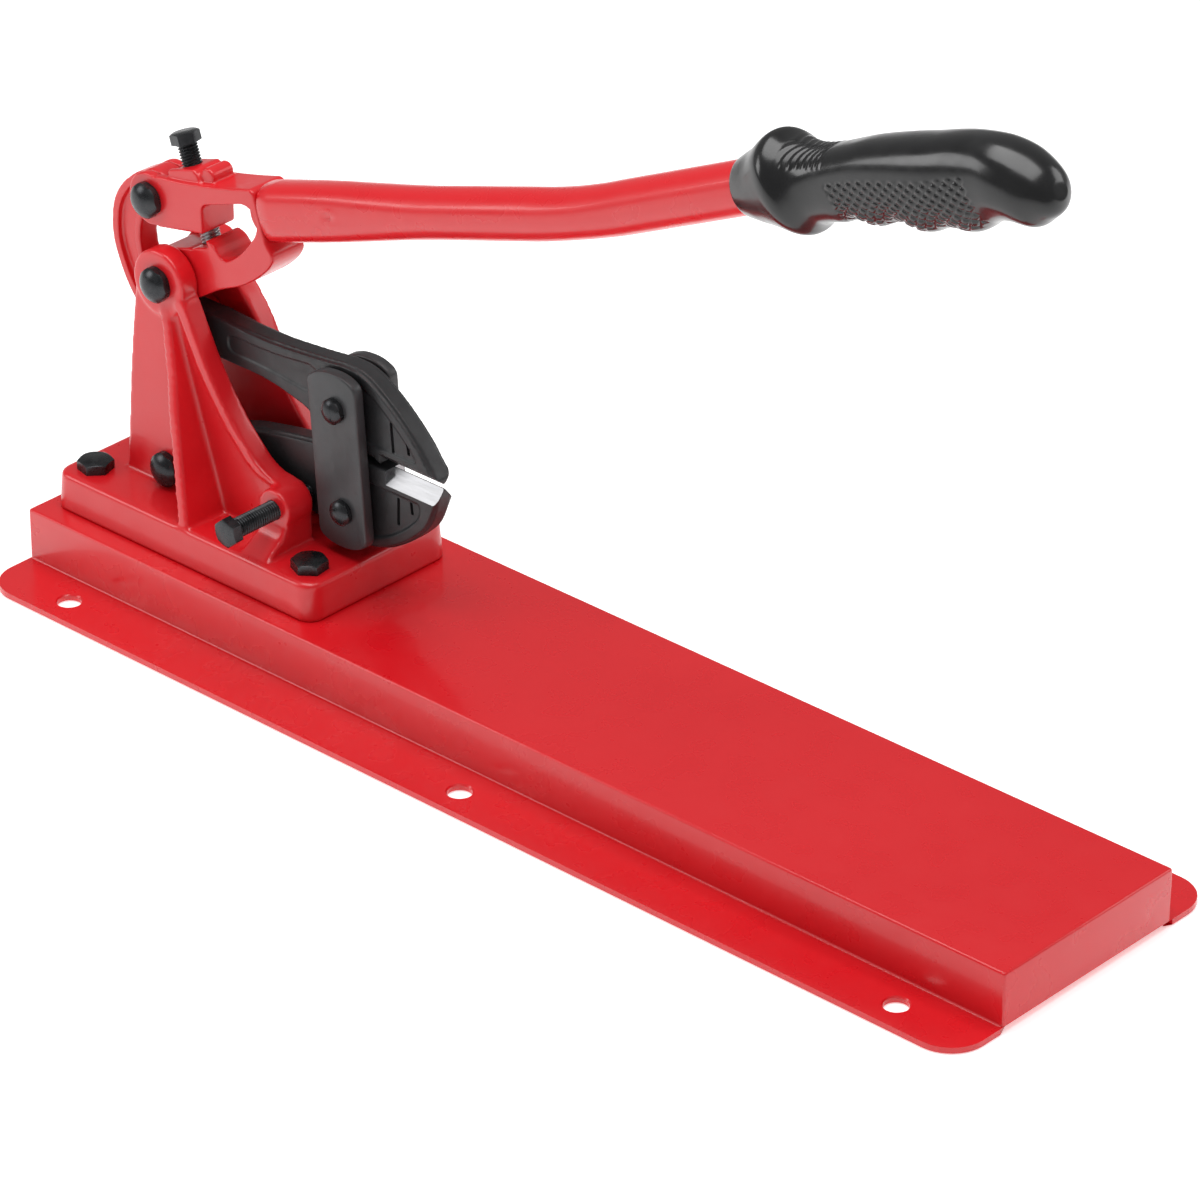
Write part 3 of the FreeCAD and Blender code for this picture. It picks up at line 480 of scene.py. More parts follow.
def wedgeX(corners, centreX, halfThick, lean=0.0, foot=0.0):
    # an outline in Y and Z drawn out along X, leaning back as it rises
    shape = bmesh.new()
    shape.faces.new([shape.verts.new((centreX - halfThick, across, up)) for across, up in corners])
    grown = bmesh.ops.extrude_face_region(shape, geom=shape.faces[:])
    bmesh.ops.translate(shape, vec=(halfThick * 2, 0, 0), verts=vertsOf(grown))
    for vert in shape.verts:
        vert.co.x += (vert.co.z - foot) * lean
    bmesh.ops.recalc_face_normals(shape, faces=shape.faces[:])
    return shape


def makeStand():
    low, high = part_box("stand_casting")
    left, right = low[0] / mm, high[0] / mm
    under = low[2] / mm
    floorZ = stand["floorZ"]
    inner, outer = stand["cheekInner"], stand["cheekOuter"]
    shape = bmesh.new()
    bmesh.ops.create_cube(shape, size=1)
    bmesh.ops.scale(shape, vec=(right - left, high[1] / mm * 2, floorZ - under), verts=shape.verts[:])
    bmesh.ops.translate(shape, vec=((left + right) / 2, 0, (floorZ + under) / 2), verts=shape.verts[:])
    uprights = [edge for edge in shape.edges if abs(edge.verts[0].co.z - edge.verts[1].co.z) > 1]
    roundBevel(shape, uprights, stand["corner"], 8)
    middle = (left + right) / 2
    for vert in shape.verts:
        if vert.co.z > floorZ - 1:
            vert.co.x = middle + (vert.co.x - middle) * stand["draft"]
            vert.co.y *= stand["draft"]
    crown = [edge for edge in shape.edges if all(vert.co.z > floorZ - 0.1 for vert in edge.verts)]
    roundBevel(shape, crown, stand["crown"], 3)
    rear = [(pivot[0] - 29.5, floorZ - 4, 0)] + fromPivot(cheekRear)
    front = fromPivot(cheekFront) + [(pivot[0] + 90, floorZ - 4, 0)]
    far = fromPivot(rearCheekFront) + [(pivot[0] + 90, floorZ - 4, 0)]
    addTo(shape, outlineBlock(rear + front, -outer, -inner))
    addTo(shape, outlineBlock(rear + far, inner, outer))
    addTo(shape, bothSides(disc(pivot, stand["bossRadius"], inner, stand["bossFace"])))
    # the cheek's front edge is thickened into a rounded rim
    for edge, side in ((front[:-2], -1), (far[:-2], 1)):
        inside = [(x - stand["rimWide"], z - 2.5) + tuple(rest) for x, z, *rest in edge]
        lowY, highY = sorted((side * (inner + 1), side * (outer + stand["rimProud"])))
        addTo(shape, outlineBlock(edge + list(reversed(inside)), lowY, highY))
    ribTop = pivot[1] - 8
    rib = wedgeX([(inner + 1, floorZ - 4), (46.2, floorZ - 4), (46, floorZ + 1), (35, pivot[1] - 61.5),
                  (30, pivot[1] - 44.1), (stand["bossFace"] - 0.5, ribTop), (inner + 1, ribTop)],
                 pivot[0] + 36.3, stand["ribThick"] / 2, stand["ribLean"], floorZ)
    addTo(shape, bothSides(rib))
    addTo(shape, bothSides(disc(clampAxis, stand["clampRadius"], inner + 1, stand["clampFace"])))
    face = stand["clampFace"]
    foot = wedgeX([(inner + 1, floorZ - 4), (43.5, floorZ - 4), (43, floorZ + 1),
                   (face + 3, clampAxis[1] - 12), (face, clampAxis[1] - 6), (face, clampAxis[1]),
                   (inner + 1, clampAxis[1])],
                  clampAxis[0], stand["clampRadius"] - 1.5)
    addTo(shape, bothSides(foot))
    piece = toObject(toMetres(shape), "castStand", redCasting)
    soften(piece, stand["voxel"], stand["rounds"])
    wellZ = floorZ - stand["wellDeep"]
    bores = outlineBlock([(pivot[0] - 14, wellZ, 2), (pivot[0] + 80, wellZ, 2),
                          (pivot[0] + 80, floorZ + 1, 0), (pivot[0] - 14, floorZ + 1, 0)], -inner, inner)
    addTo(bores, disc(pivot, boreRadius["pivot"], -24, 24))
    addTo(bores, disc(lowerPin, boreRadius["bolt"], -23, 23))
    addTo(bores, disc(clampAxis, boreRadius["bolt"], -32, -8))
    cut(piece, bores)
    settle(piece, "stand", "stand_casting", 50)


makeStand()


print("lever head")
head = {"voxel": 0.55, "rounds": 9, "half": 11.0, "bossRadius": 13.5, "forkHalf": 6.3, "webHalf": 11.0,
        "lean": 18.0}
headOutline = [(-16.5, 49), (0.5, 50.3), (30, 56.3), (55, 63.3, 3), (63.3, 36.5), (68.5, 32), (65.5, 25.5),
               (57.5, 17.5), (44.5, 8.5), (31, 3), (11.5, -9.5), (6.5, 1.5), (11.5, 18.5, 3), (23.5, 22.3, 1),
               (19.8, 28.5, 1), (-12.5, 22, 3)]
headWindow = [(19.8, 25.5, 2), (19.8, 43.8, 3), (49.5, 54.1), (57, 50.5), (57.7, 41.5), (49.5, 30.1),
              (40.5, 21.7), (33.5, 18, 4), (26.5, 25.5, 3)]
headWeb = [(-12.5, 10.7), (13.5, 19), (19.5, 11.5), (13.5, -8.5), (-5.5, -8.5), (-13.5, 1.5)]


def screwAxis(height):
    # a point on the adjusting screw's axis, by its height above the pivot
    return (pivot[0] + 3.5 - (height - 55.9) * math.tan(math.radians(head["lean"])), pivot[1] + height)


def alongScrew(height):
    # stands a shape made up Z on the adjusting screw's leaning axis
    x, z = screwAxis(height)
    return Matrix.Translation((x, 0, z)) @ Matrix.Rotation(math.radians(-head["lean"]), 4, "Y")


def makeHead():
    half = head["half"]
    shape = outlineBlock(fromPivot(headOutline), -half, half)
    addTo(shape, outlineBlock(fromPivot(headWeb), -head["webHalf"], head["webHalf"]))
    addTo(shape, disc(pivot, head["bossRadius"], -half, half))
    addTo(shape, disc(linkPin, head["bossRadius"], -half, half))
    low, high = screwAxis(46), screwAxis(56.3)
    addTo(shape, outlineBlock([(low[0] - 10, low[1], 1), (low[0] + 15, low[1] + 4, 1),
                               (high[0] + 10, high[1] + 3.4, 2), (high[0] - 8.5, high[1] - 2.4, 2)],
                              2 - half, half - 2))
    addTo(shape, disc((pivot[0] + 20.5, pivot[1] + 57.3), 4.4, 4 - half, half - 4))
    piece = toObject(toMetres(shape), "leverHead", redCasting)
    soften(piece, head["voxel"], 1)
    cut(piece, outlineBlock(fromPivot(headWindow), -half - 1, half + 1))
    cut(piece, outlineBlock([(linkPin[0] - 25, pivot[1] + 17.5, 0), (linkPin[0] + 16.5, pivot[1] + 17.5, 0),
                             (linkPin[0] + 16.5, pivot[1] + 58, 0), (linkPin[0] - 25, pivot[1] + 58, 0)],
                            -head["forkHalf"], head["forkHalf"]))
    soften(piece, head["voxel"], head["rounds"])
    bores = disc(pivot, boreRadius["pivot"], -12, 12)
    addTo(bores, disc(linkPin, boreRadius["bolt"], -12, 12))
    screwBore = bmesh.new()
    bmesh.ops.create_cone(screwBore, cap_ends=True, segments=48, radius1=boreRadius["bolt"],
                          radius2=boreRadius["bolt"], depth=62)
    bmesh.ops.translate(screwBore, vec=(0, 0, -24), verts=screwBore.verts[:])
    addTo(bores, moved(screwBore, alongScrew(65)))
    cut(piece, bores)
    # the tang that the tube is pushed over
    tang = bmesh.new()
    bmesh.ops.create_cone(tang, cap_ends=True, segments=48, radius1=1, radius2=1, depth=62)
    bmesh.ops.scale(tang, vec=(11.3, 8.8, 1), verts=tang.verts[:])
    join(piece, toObject(toMetres(moved(tang, alongLever(23, 0))), "tang", redCasting))
    settle(piece, "lever", "lever_head", 50)


def join(piece, other):
    # merges another object's mesh into this one
    shape = bmesh.new()
    shape.from_mesh(piece.data)
    shape.from_mesh(other.data)
    shape.to_mesh(piece.data)
    shape.free()
    discard(other)


lever = {"legSlope": 17.6, "gripSlope": 25.0, "legLength": 207.7, "bend": (pivot[0] + 257.5, pivot[1] + 113),
         "bendReach": 30.0, "mouthTall": 14.5, "mouthWide": 12.0, "tubeRadius": 12.5, "wall": 3.0,
         "gripStart": 106.0, "dimpleAt": 50.0, "dimpleDeep": 1.1}


def ringPlane(x, z, slope):
    # matrix of a ring's plane: its Z runs along the lever, its X points up the ring
    return (Matrix.Translation((x, 0, z)) @ Matrix.Rotation(math.radians(90) - slope, 4, "Y")
            @ Matrix.Rotation(math.pi, 4, "Z"))


def alongLever(distance, run, drop=0.0):
    # run 0 is the first straight run, measured from the tube's mouth; run 1 is the second, from the bend
    if run == 0:
        slope = math.radians(lever["legSlope"])
        start = (lever["bend"][0] - lever["legLength"] * math.cos(slope),
                 lever["bend"][1] - lever["legLength"] * math.sin(slope))
    else:
        slope = math.radians(lever["gripSlope"])
        start = lever["bend"]
    x = start[0] + distance * math.cos(slope) + drop * math.sin(slope)
    z = start[1] + distance * math.sin(slope) - drop * math.cos(slope)
    return ringPlane(x, z, slope)


def ringPoint(angle, tall, wide, squareness):
    # a point on a rounded-square ring; local X is up the ring
    c, s = math.cos(angle), math.sin(angle)
    power = 2 / squareness
    return Vector((math.copysign(abs(c) ** power, c) * tall, math.copysign(abs(s) ** power, s) * wide, 0))


def sweep(rings, segments):
    # rings are (matrix, half height, half width, squareness); the skin is drawn through them by extruding
    shape = bmesh.new()
    turn = shape.verts.layers.float.new("turn")
    bmesh.ops.create_circle(shape, cap_ends=True, segments=segments, radius=1)
    for vert in shape.verts:
        vert[turn] = math.atan2(vert.co.y, vert.co.x)
    current = shape.verts[:]
    for number, (matrix, tall, wide, squareness) in enumerate(rings):
        if number:
            rim = [edge for edge in shape.edges if edge.verts[0] in front and edge.verts[1] in front]
            grown = bmesh.ops.extrude_edge_only(shape, edges=rim)
            current = vertsOf(grown)
        for vert in current:
            vert.co = matrix @ ringPoint(vert[turn], tall, wide, squareness)
        front = set(current)
    last = [edge for edge in shape.edges if edge.verts[0] in front and edge.verts[1] in front]
    bmesh.ops.edgeloop_fill(shape, edges=last)
    bmesh.ops.recalc_face_normals(shape, faces=shape.faces[:])
    return shape


def makeTube():
    tall, wide, radius, wall = lever["mouthTall"], lever["mouthWide"], lever["tubeRadius"], lever["wall"]
    # up the bore from inside, over the mouth's rounded lip, then along the outside
    lip = ((24, wall, 2.5), (1.0, wall, 2.6), (0.2, wall - 0.6, 2.6), (0.0, 1.4, 2.7), (0.3, 0.5, 2.8),
           (1.2, 0, 2.8))
    rings = [(alongLever(distance, 0), tall - inset, wide - inset, squareness)
             for distance, inset, squareness in lip]
    # the flattened mouth grows round as the tube runs on
    for distance, share in ((8, 0.0), (20, 0.03), (35, 0.1), (50, 0.25), (62, 0.42), (75, 0.6), (88, 0.78),
                            (100, 0.92), (112, 1.0), (140, 1.0), (165, 1.0)):
        rings.append((alongLever(distance, 0), tall + (radius - tall) * share, wide + (radius - wide) * share,
                      2.8 - 0.8 * share))
    # the bend is a smooth arc between the two runs
    reach = lever["bendReach"]
    first, second = alongLever(lever["legLength"] - reach, 0), alongLever(reach, 1)
    knee = Vector((lever["bend"][0], 0, lever["bend"][1]))
    steps = 10
    for step in range(steps + 1):
        share = step / steps
        spot = first.translation.lerp(knee, share).lerp(knee.lerp(second.translation, share), share)
        slope = math.radians(lever["legSlope"] + (lever["gripSlope"] - lever["legSlope"]) * share)
        flat = 0.35 * math.sin(math.pi * share)
        rings.append((ringPlane(spot.x, spot.z, slope), radius - flat, radius + flat * 0.6, 2.0))
    for distance in (50, 80, 106, lever["gripStart"] + 40):
        rings.append((alongLever(distance, 1), radius, radius, 2.0))
    piece = toObject(toMetres(sweep(rings, 72)), "leverTube", redSheet)
    # a small punched dimple locks the tube to the tang
    spot = alongLever(lever["dimpleAt"], 0).translation * mm
    shape = bmesh.new()
    shape.from_mesh(piece.data)
    near = [face for face in shape.faces if (face.calc_center_median() - spot).length < 0.018]
    edges = list({edge for face in near for edge in face.edges})
    bmesh.ops.subdivide_edges(shape, edges=edges, cuts=3, use_grid_fill=True)
    for vert in shape.verts:
        for side in (-1, 1):
            away = (vert.co - Vector((spot.x, side * lever["mouthWide"] * mm, spot.z + 0.5 * mm))).length / mm
            if away < 6:
                pit = lever["dimpleDeep"] * math.exp(-(away / 2.0) ** 2)
                raised = 0.35 * math.exp(-((away - 3.6) / 1.1) ** 2)
                vert.co.y -= side * mm * (pit - raised)
    shape.to_mesh(piece.data)
    shape.free()
    settle(piece, "lever", "lever_tube", 40)


makeHead()
print("lever tube")
makeTube()


print("grip")
# distance along the grip, drop of its middle, half height, half width, squareness
gripRings = [(0, 0, 13.9, 13.9, 2.0), (6, 0.2, 16.0, 15.8, 2.0), (14, 0.5, 18.8, 18.2, 2.0),
             (22, 0.9, 22.0, 20.6, 2.1), (27, 1.1, 24.0, 22.0, 2.1), (30.5, 1.4, 24.0, 21.8, 2.1),
             (34.5, 2.0, 21.0, 19.6, 2.2), (40, 3.0, 18.2, 17.4, 2.3), (47, 4.2, 17.0, 16.4, 2.4),
             (55, 5.0, 16.9, 16.3, 2.5), (66, 5.6, 17.6, 16.6, 2.6), (80, 6.5, 18.7, 17.2, 2.6),
             (98, 9.2, 20.2, 17.8, 2.6), (116, 11.9, 21.2, 18.0, 2.5), (130, 12.9, 21.0, 17.6, 2.4),
             (141, 14.0, 20.2, 17.4, 2.3), (152, 16.3, 19.2, 17.8, 2.2), (161, 19.0, 17.2, 16.8, 2.1),
             (168, 21.4, 13.8, 13.8, 2.0), (173, 23.2, 9.4, 9.6, 2.0), (175.5, 24.0, 4.0, 4.2, 2.0)]
grip = {"segments": 64, "step": 2.4, "endStep": 1.2, "mouth": 4.0, "mouthRadius": 13.9, "scallop": 1.9,
        "bumps": (76, 103, 129, 163), "bumpWide": 9.0, "hatchPitch": 4.4, "hatchHigh": 0.7, "panelFrom": 60.0,
        "panelTo": 142.0, "ridgePitch": 3.1, "ridgeHigh": 0.34, "crestLean": 0.14}


def smoothBetween(table, distance):
    # smooth (Catmull-Rom) reading of the ring table at a distance
    last = len(table) - 1
    index = next((i for i in range(last) if table[i + 1][0] >= distance), last - 1)
    a, b = table[index], table[index + 1]
    before, after = table[max(index - 1, 0)], table[min(index + 2, last)]
    span = b[0] - a[0]
    t = (distance - a[0]) / span
    values = []
    for k in range(1, len(a)):
        slopeA = (b[k] - before[k]) / max(b[0] - before[0], 0.001) * span
        slopeB = (after[k] - a[k]) / max(after[0] - a[0], 0.001) * span
        values.append((2 * t ** 3 - 3 * t ** 2 + 1) * a[k] + (t ** 3 - 2 * t ** 2 + t) * slopeA
                      + (3 * t ** 2 - 2 * t ** 3) * b[k] + (t ** 3 - t ** 2) * slopeB)
    return values


def smoothStep(low, high, value):
    share = min(max((value - low) / (high - low), 0), 1)
    return share * share * (3 - 2 * share)


def gripRelief(s, up, side):
    # how far a point of the grip stands proud: hatched side panels, thumb ridges
    height = 0.0
    if side > 4:
        top = 3.0 + (s - grip["panelFrom"]) * 0.02
        inPanel = (smoothStep(grip["panelFrom"], grip["panelFrom"] + 3, s + 0.25 * abs(up + 7))
                   * (1 - smoothStep(grip["panelTo"] - 3, grip["panelTo"], s + 0.12 * abs(up + 7)))
                   * (1 - smoothStep(top, top + 1.6, up)) * smoothStep(-19.5, -17.5, up))
        if inPanel > 0:
            u = (s * 0.72 + up * 0.95) / grip["hatchPitch"]
            v = (s * 0.72 - up * 0.95) / grip["hatchPitch"]
            u, v = abs((u % 1) - 0.5) * 2, abs((v % 1) - 0.5) * 2
            stud = (1 - smoothStep(0.55, 0.9, u)) * (1 - smoothStep(0.55, 0.9, v))
            height += inPanel * (stud - 0.8) * grip["hatchHigh"]
    if up > 6:
        inRidges = smoothStep(35, 38, s) * (1 - smoothStep(56, 60, s)) * smoothStep(9.5, 12.5, up)
        height += inRidges * grip["ridgeHigh"] * math.cos(math.tau * (s + 0.35 * side) / grip["ridgePitch"])
    return height


def makeGrip():
    rings = []
    start = lever["gripStart"] + grip["mouth"]
    for inset, distance in ((1.3, 14.0), (1.3, 1.0), (0.9, 0.1)):
        mouth = grip["mouthRadius"] - inset
        rings.append((alongLever(start + distance, 1), mouth, mouth, 2.0))
    distance = 0.0
    end = gripRings[-1][0]
    while distance < end:
        drop, tall, wide, squareness = smoothBetween(gripRings, distance)
        rings.append((alongLever(start + distance, 1, drop), tall, wide, squareness))
        distance += grip["step"] if distance < 160 else grip["endStep"]
    drop, tall, wide, squareness = gripRings[-1][1:]
    rings.append((alongLever(start + end, 1, drop), tall, wide, squareness))
    piece = toObject(toMetres(sweep(rings, grip["segments"])), "vinylGrip", gripBlack)
    finer = piece.modifiers.new("finer", "SUBSURF")
    finer.levels = finer.render_levels = 2
    finer.subdivision_type = "CATMULL_CLARK"
    bakeDown(piece)
    plane = alongLever(start, 1)
    inverse = plane.inverted()
    mesh = piece.data
    normals = [vert.normal.copy() for vert in mesh.vertices]
    upward = (plane.to_3x3() @ Vector((1, 0, 0))).normalized()
    onward = (plane.to_3x3() @ Vector((0, 0, 1))).normalized()
    for vert, normal in zip(mesh.vertices, normals):
        local = inverse @ (vert.co / mm)
        s, across = local.z, abs(local.y)
        if s < 1 or s > end - 1 or (s < 16 and math.hypot(local.x, local.y) < 13.4):
            continue
        drop = smoothBetween(gripRings, min(s, end))[0]
        up = local.x + drop
        # finger scallops swell the underside only
        under = smoothStep(2, 14, -up)
        swell = sum(math.exp(-((s - bump) / grip["bumpWide"]) ** 2) for bump in grip["bumps"])
        fade = smoothStep(55, 66, s) * (1 - smoothStep(160, 170, s))
        vert.co -= upward * (under * fade * grip["scallop"] * (swell * 2 - 1.35)) * mm
        vert.co += normal * gripRelief(s, up, across) * mm
        crest = smoothStep(8, 24, s) * (1 - smoothStep(34, 56, s))
        vert.co -= onward * (crest * grip["crestLean"] * up) * mm
    settle(piece, "lever", "grip", 80)


makeGrip()


print("link")
link = {"voxel": 0.6, "rounds": 8, "half": 6.0, "rimWide": 4.6, "recess": 2.6, "eyeRadius": 13.5,
        "lowEye": 11.5, "forkHalf": 11.0, "gapHalf": 6.4, "gapRadius": 14.9}
linkOutline = [(-16.5, 49), (-28.6, 45.1), (-41.6, 34), (-47.5, 23.5), (-49, 12.8), (-48.7, 2.6),
               (-45.6, -6.8), (-41.6, -15.8), (-35, -26), (-26, -34.5), (-15, -38.5, 2), (-15, -17, 2),
               (-22, -11.5), (-28, 0), (-29.5, 12), (-26, 24), (-18, 30)]
linkRecess = [(-24.5, 34), (-29.5, 39.3), (-38, 31.2), (-43, 22), (-44.4, 12.8), (-44.1, 3.2),
              (-41.3, -5.2), (-37.4, -13.7), (-31.5, -22.5), (-25, -27.5), (-25.5, -14.5), (-31.5, -2),
              (-33.6, 12), (-30, 25.5)]


def makeLink():
    shape = outlineBlock(fromPivot(linkOutline), -link["half"], link["half"])
    addTo(shape, disc(linkPin, link["eyeRadius"], -link["half"], link["half"]))
    eyeLow, eyeHigh = jawPin[1] - link["lowEye"], jawPin[1] + link["lowEye"]
    addTo(shape, outlineBlock([(jawPin[0] - 21, eyeHigh + 1, 2), (jawPin[0], eyeHigh, 0),
                               (jawPin[0], eyeLow, 0), (jawPin[0] - 14, eyeLow + 0.5, 1),
                               (jawPin[0] - 21, eyeLow + 2.5, 2)], -link["forkHalf"], link["forkHalf"]))
    addTo(shape, disc(jawPin, link["lowEye"], -link["forkHalf"], link["forkHalf"]))
    piece = toObject(toMetres(shape), "toggleLink", redCasting)
    soften(piece, link["voxel"], 2)
    deep = link["half"] - link["recess"]
    cut(piece, bothSides(outlineBlock(fromPivot(linkRecess), deep, link["forkHalf"] + 2)))
    cut(piece, disc(jawPin, link["gapRadius"], -link["gapHalf"], link["gapHalf"]))
    soften(piece, link["voxel"], link["rounds"] - 2)
    bores = disc(linkPin, boreRadius["bolt"], -7, 7)
    addTo(bores, disc(jawPin, boreRadius["linkPin"], -12, 12))
    cut(piece, bores)
    settle(piece, "link", "link", 50)


makeLink()


print("jaws")
jaw = {"voxel": 0.5, "rounds": 4, "half": 6.3, "bossHalf": 8.5, "bossRadius": 11.0, "tailHalf": 6.0,
       "tailRadius": 11.5, "eyeRadius": 10.0, "eyeHalf": 11.3, "upperBevel": 5.6, "lowerBevel": 7.5,
       "upperFrom": 131.5, "lowerFrom": 135.5, "gap": 2.4, "edgeDrop": 57.9, "bandHalf": 4.3, "step": 1.3,
       "panelDeep": 1.1, "shankDeep": 0.9, "slotDeep": 2.6}
upperOutline = [(18, -16.2, 0), (54.8, -17.3), (92.8, -13.8), (111.5, -11.3), (123.5, -13.3), (138.5, -22.8),
                (148.1, -30.6), (158, -40.1), (163.5, -47.9), (168, -54, 0.6), (168.3, -56.7, 0),
                (131.5, -56.7, 0), (127, -54.5, 0.5), (107, -56.2, 3), (95.5, -53.6), (90, -50.2), (83, -45),
                (57.5, -38.8), (18, -37.7, 0)]
upperTail = [(-0.5, -38.5, 0), (20, -37.6, 0), (20, -16.3, 0), (-0.5, -16.5, 0)]
upperPanel = [(112, -18.5), (123, -20.0), (136, -28.8), (145, -36.2), (153.5, -44.2, 2), (155.5, -48.6, 1),
              (118, -48.6, 1), (112, -47)]
shankPanel = [(30, -22), (57, -23), (88, -19.5), (94, -26), (86, -35.5), (60, -32.5), (30, -32)]
lowerOutline = [(-4, -91.7, 2), (18.5, -79.5), (37.5, -69.8), (71.5, -62.8), (90.5, -59.8), (99.5, -58.8, 2),
                (127.5, -59.5, 1), (135.5, -59.1, 0), (168.3, -59.1, 0), (168.3, -63.5, 1), (167, -70.2),
                (162.6, -81.1), (149.5, -93.7), (134.9, -102.2), (122.5, -105.7), (102.5, -105.2),
                (89.5, -101.2),
                (72.5, -98.2), (47.5, -99.7), (22.5, -106.2), (4, -110.4)]
lowerPanel = [(112, -69.2, 1), (157.5, -69.2, 2), (157.5, -76.5), (146.5, -88.0), (133, -96.3),
              (121, -99.8), (112, -99)]


def shrink(corners, inset):
    # moves every side of a flat outline inwards
    area = sum(a[0] * b[1] - b[0] * a[1] for a, b in zip(corners, corners[1:] + corners[:1]))
    way = 1 if area > 0 else -1
    result = []
    for index, here in enumerate(corners):
        before, after = corners[index - 1], corners[(index + 1) % len(corners)]
        sides = []
        for a, b in ((before, here), (here, after)):
            run = Vector((b[0] - a[0], b[1] - a[1])).normalized()
            sides.append(Vector((-run.y, run.x)) * way)
        shift = (sides[0] + sides[1]) * (inset / (1 + sides[0].dot(sides[1])))
        result.append((here[0] + shift.x, here[1] + shift.y) + tuple(here[2:]))
    return result


def steppedBlade(corners, kept):
    # a blade whose flanks stand proud of a stepped edge, except at the corners that are kept
    shape = outlineBlock(fromPivot(corners), -jaw["bandHalf"], jaw["bandHalf"])
    inner = shrink(corners, jaw["step"])
    inner = [corners[index] if index in kept else corner for index, corner in enumerate(inner)]
    addTo(shape, bothSides(outlineBlock(fromPivot(inner), jaw["bandHalf"] - 1.5, jaw["half"])))
    return shape


def slotCut(top, bottom, width=1.9):
    # a narrow leaning slot pressed into both faces of a jaw
    across = width / 2
    floor = jaw["half"] - jaw["slotDeep"]
    corners = [(bottom[0] - across, bottom[1], 0.6), (bottom[0] + across, bottom[1], 0.6),
               (top[0] + across, top[1], 0.6), (top[0] - across, top[1], 0.6)]
    return bothSides(outlineBlock(fromPivot(corners), floor, jaw["half"] + 2, 3))


def bevelWedges(edgeZ, start, rise):
    # the two grinding cuts that bring the jaw to its edge on the middle plane
    flank = jaw["half"]
    up = math.copysign(1, rise)
    outside = edgeZ + rise * (flank + 0.55) / (flank - 0.25)
    wedge = wedgeX([(0.25, edgeZ), (flank + 0.8, outside), (flank + 4, outside), (flank + 4, edgeZ - 3 * up),
                    (0.25, edgeZ - 3 * up)], pivot[0] + start + 22, 22)
    return bothSides(wedge)


def makeUpperJaw():
    half = jaw["half"]
    shape = steppedBlade(upperOutline, (0, 9, 10, 11, 12, 18))
    addTo(shape, outlineBlock(fromPivot(upperTail), -jaw["tailHalf"], jaw["tailHalf"]))
    addTo(shape, disc(jawPin, jaw["tailRadius"], -jaw["tailHalf"], jaw["tailHalf"]))
    addTo(shape, disc(strapHead, jaw["bossRadius"], -jaw["bossHalf"], jaw["bossHalf"]))
    piece = toObject(toMetres(shape), "upperJaw", forgedBlack)
    soften(piece, jaw["voxel"], 1)
    cut(piece, bothSides(outlineBlock(fromPivot(upperPanel), half - jaw["panelDeep"], half + 2)))
    # a long shallow panel along the shank leaves a rolled border
    cut(piece, bothSides(outlineBlock(fromPivot(shankPanel), half - jaw["shankDeep"], half + 2)))
    soften(piece, jaw["voxel"], jaw["rounds"] - 1)
    edgeZ = pivot[1] - jaw["edgeDrop"] + jaw["gap"] / 2
    # the upper ground bevel keeps the black forged finish instead of ground steel: painted shade, because
    # this facet faces down into shadow
    cut(piece, bevelWedges(edgeZ, jaw["upperFrom"], jaw["upperBevel"]))
    slots = slotCut((138.7, -32.6), (140.0, -48.3))
    addTo(slots, slotCut((149.3, -39.8), (150.2, -46.0)))
    addTo(slots, disc(jawPin, boreRadius["slack"], -12, 12))
    addTo(slots, disc(strapHead, boreRadius["strap"], -12, 12))
    cut(piece, slots)
    settle(piece, "upper_jaw", "upper_jaw", 35)


def makeLowerJaw():
    half = jaw["half"]
    shape = steppedBlade(lowerOutline, (0, 6, 7, 8, 9))
    addTo(shape, disc(lowerPin, jaw["eyeRadius"], -jaw["eyeHalf"], jaw["eyeHalf"]))
    addTo(shape, disc(strapFoot, jaw["bossRadius"], -jaw["bossHalf"], jaw["bossHalf"]))
    piece = toObject(toMetres(shape), "lowerJaw", forgedBlack)
    soften(piece, jaw["voxel"], 1)
    cut(piece, bothSides(outlineBlock(fromPivot(lowerPanel), half - jaw["panelDeep"], half + 2)))
    soften(piece, jaw["voxel"], jaw["rounds"] - 1)
    edgeZ = pivot[1] - jaw["edgeDrop"] - jaw["gap"] / 2
    cut(piece, bevelWedges(edgeZ, jaw["lowerFrom"], -jaw["lowerBevel"]), finish=groundSteel)
    slots = slotCut((142.9, -71.2), (142.6, -86.2))
    addTo(slots, slotCut((151.2, -70.7), (151.9, -77.2)))
    addTo(slots, disc(lowerPin, boreRadius["lowerJaw"], -12, 12))
    addTo(slots, disc(strapFoot, boreRadius["strap"], -12, 12))
    cut(piece, slots)
    settle(piece, "stand", "lower_jaw", 35)


makeUpperJaw()
makeLowerJaw()


print("straps")
strap = {"thick": 6.3, "play": 0.2, "shift": 1.7, "wide": 31.8, "above": 19.0, "below": 20.0, "edge": 1.1,
         "shoulder": 5.0}


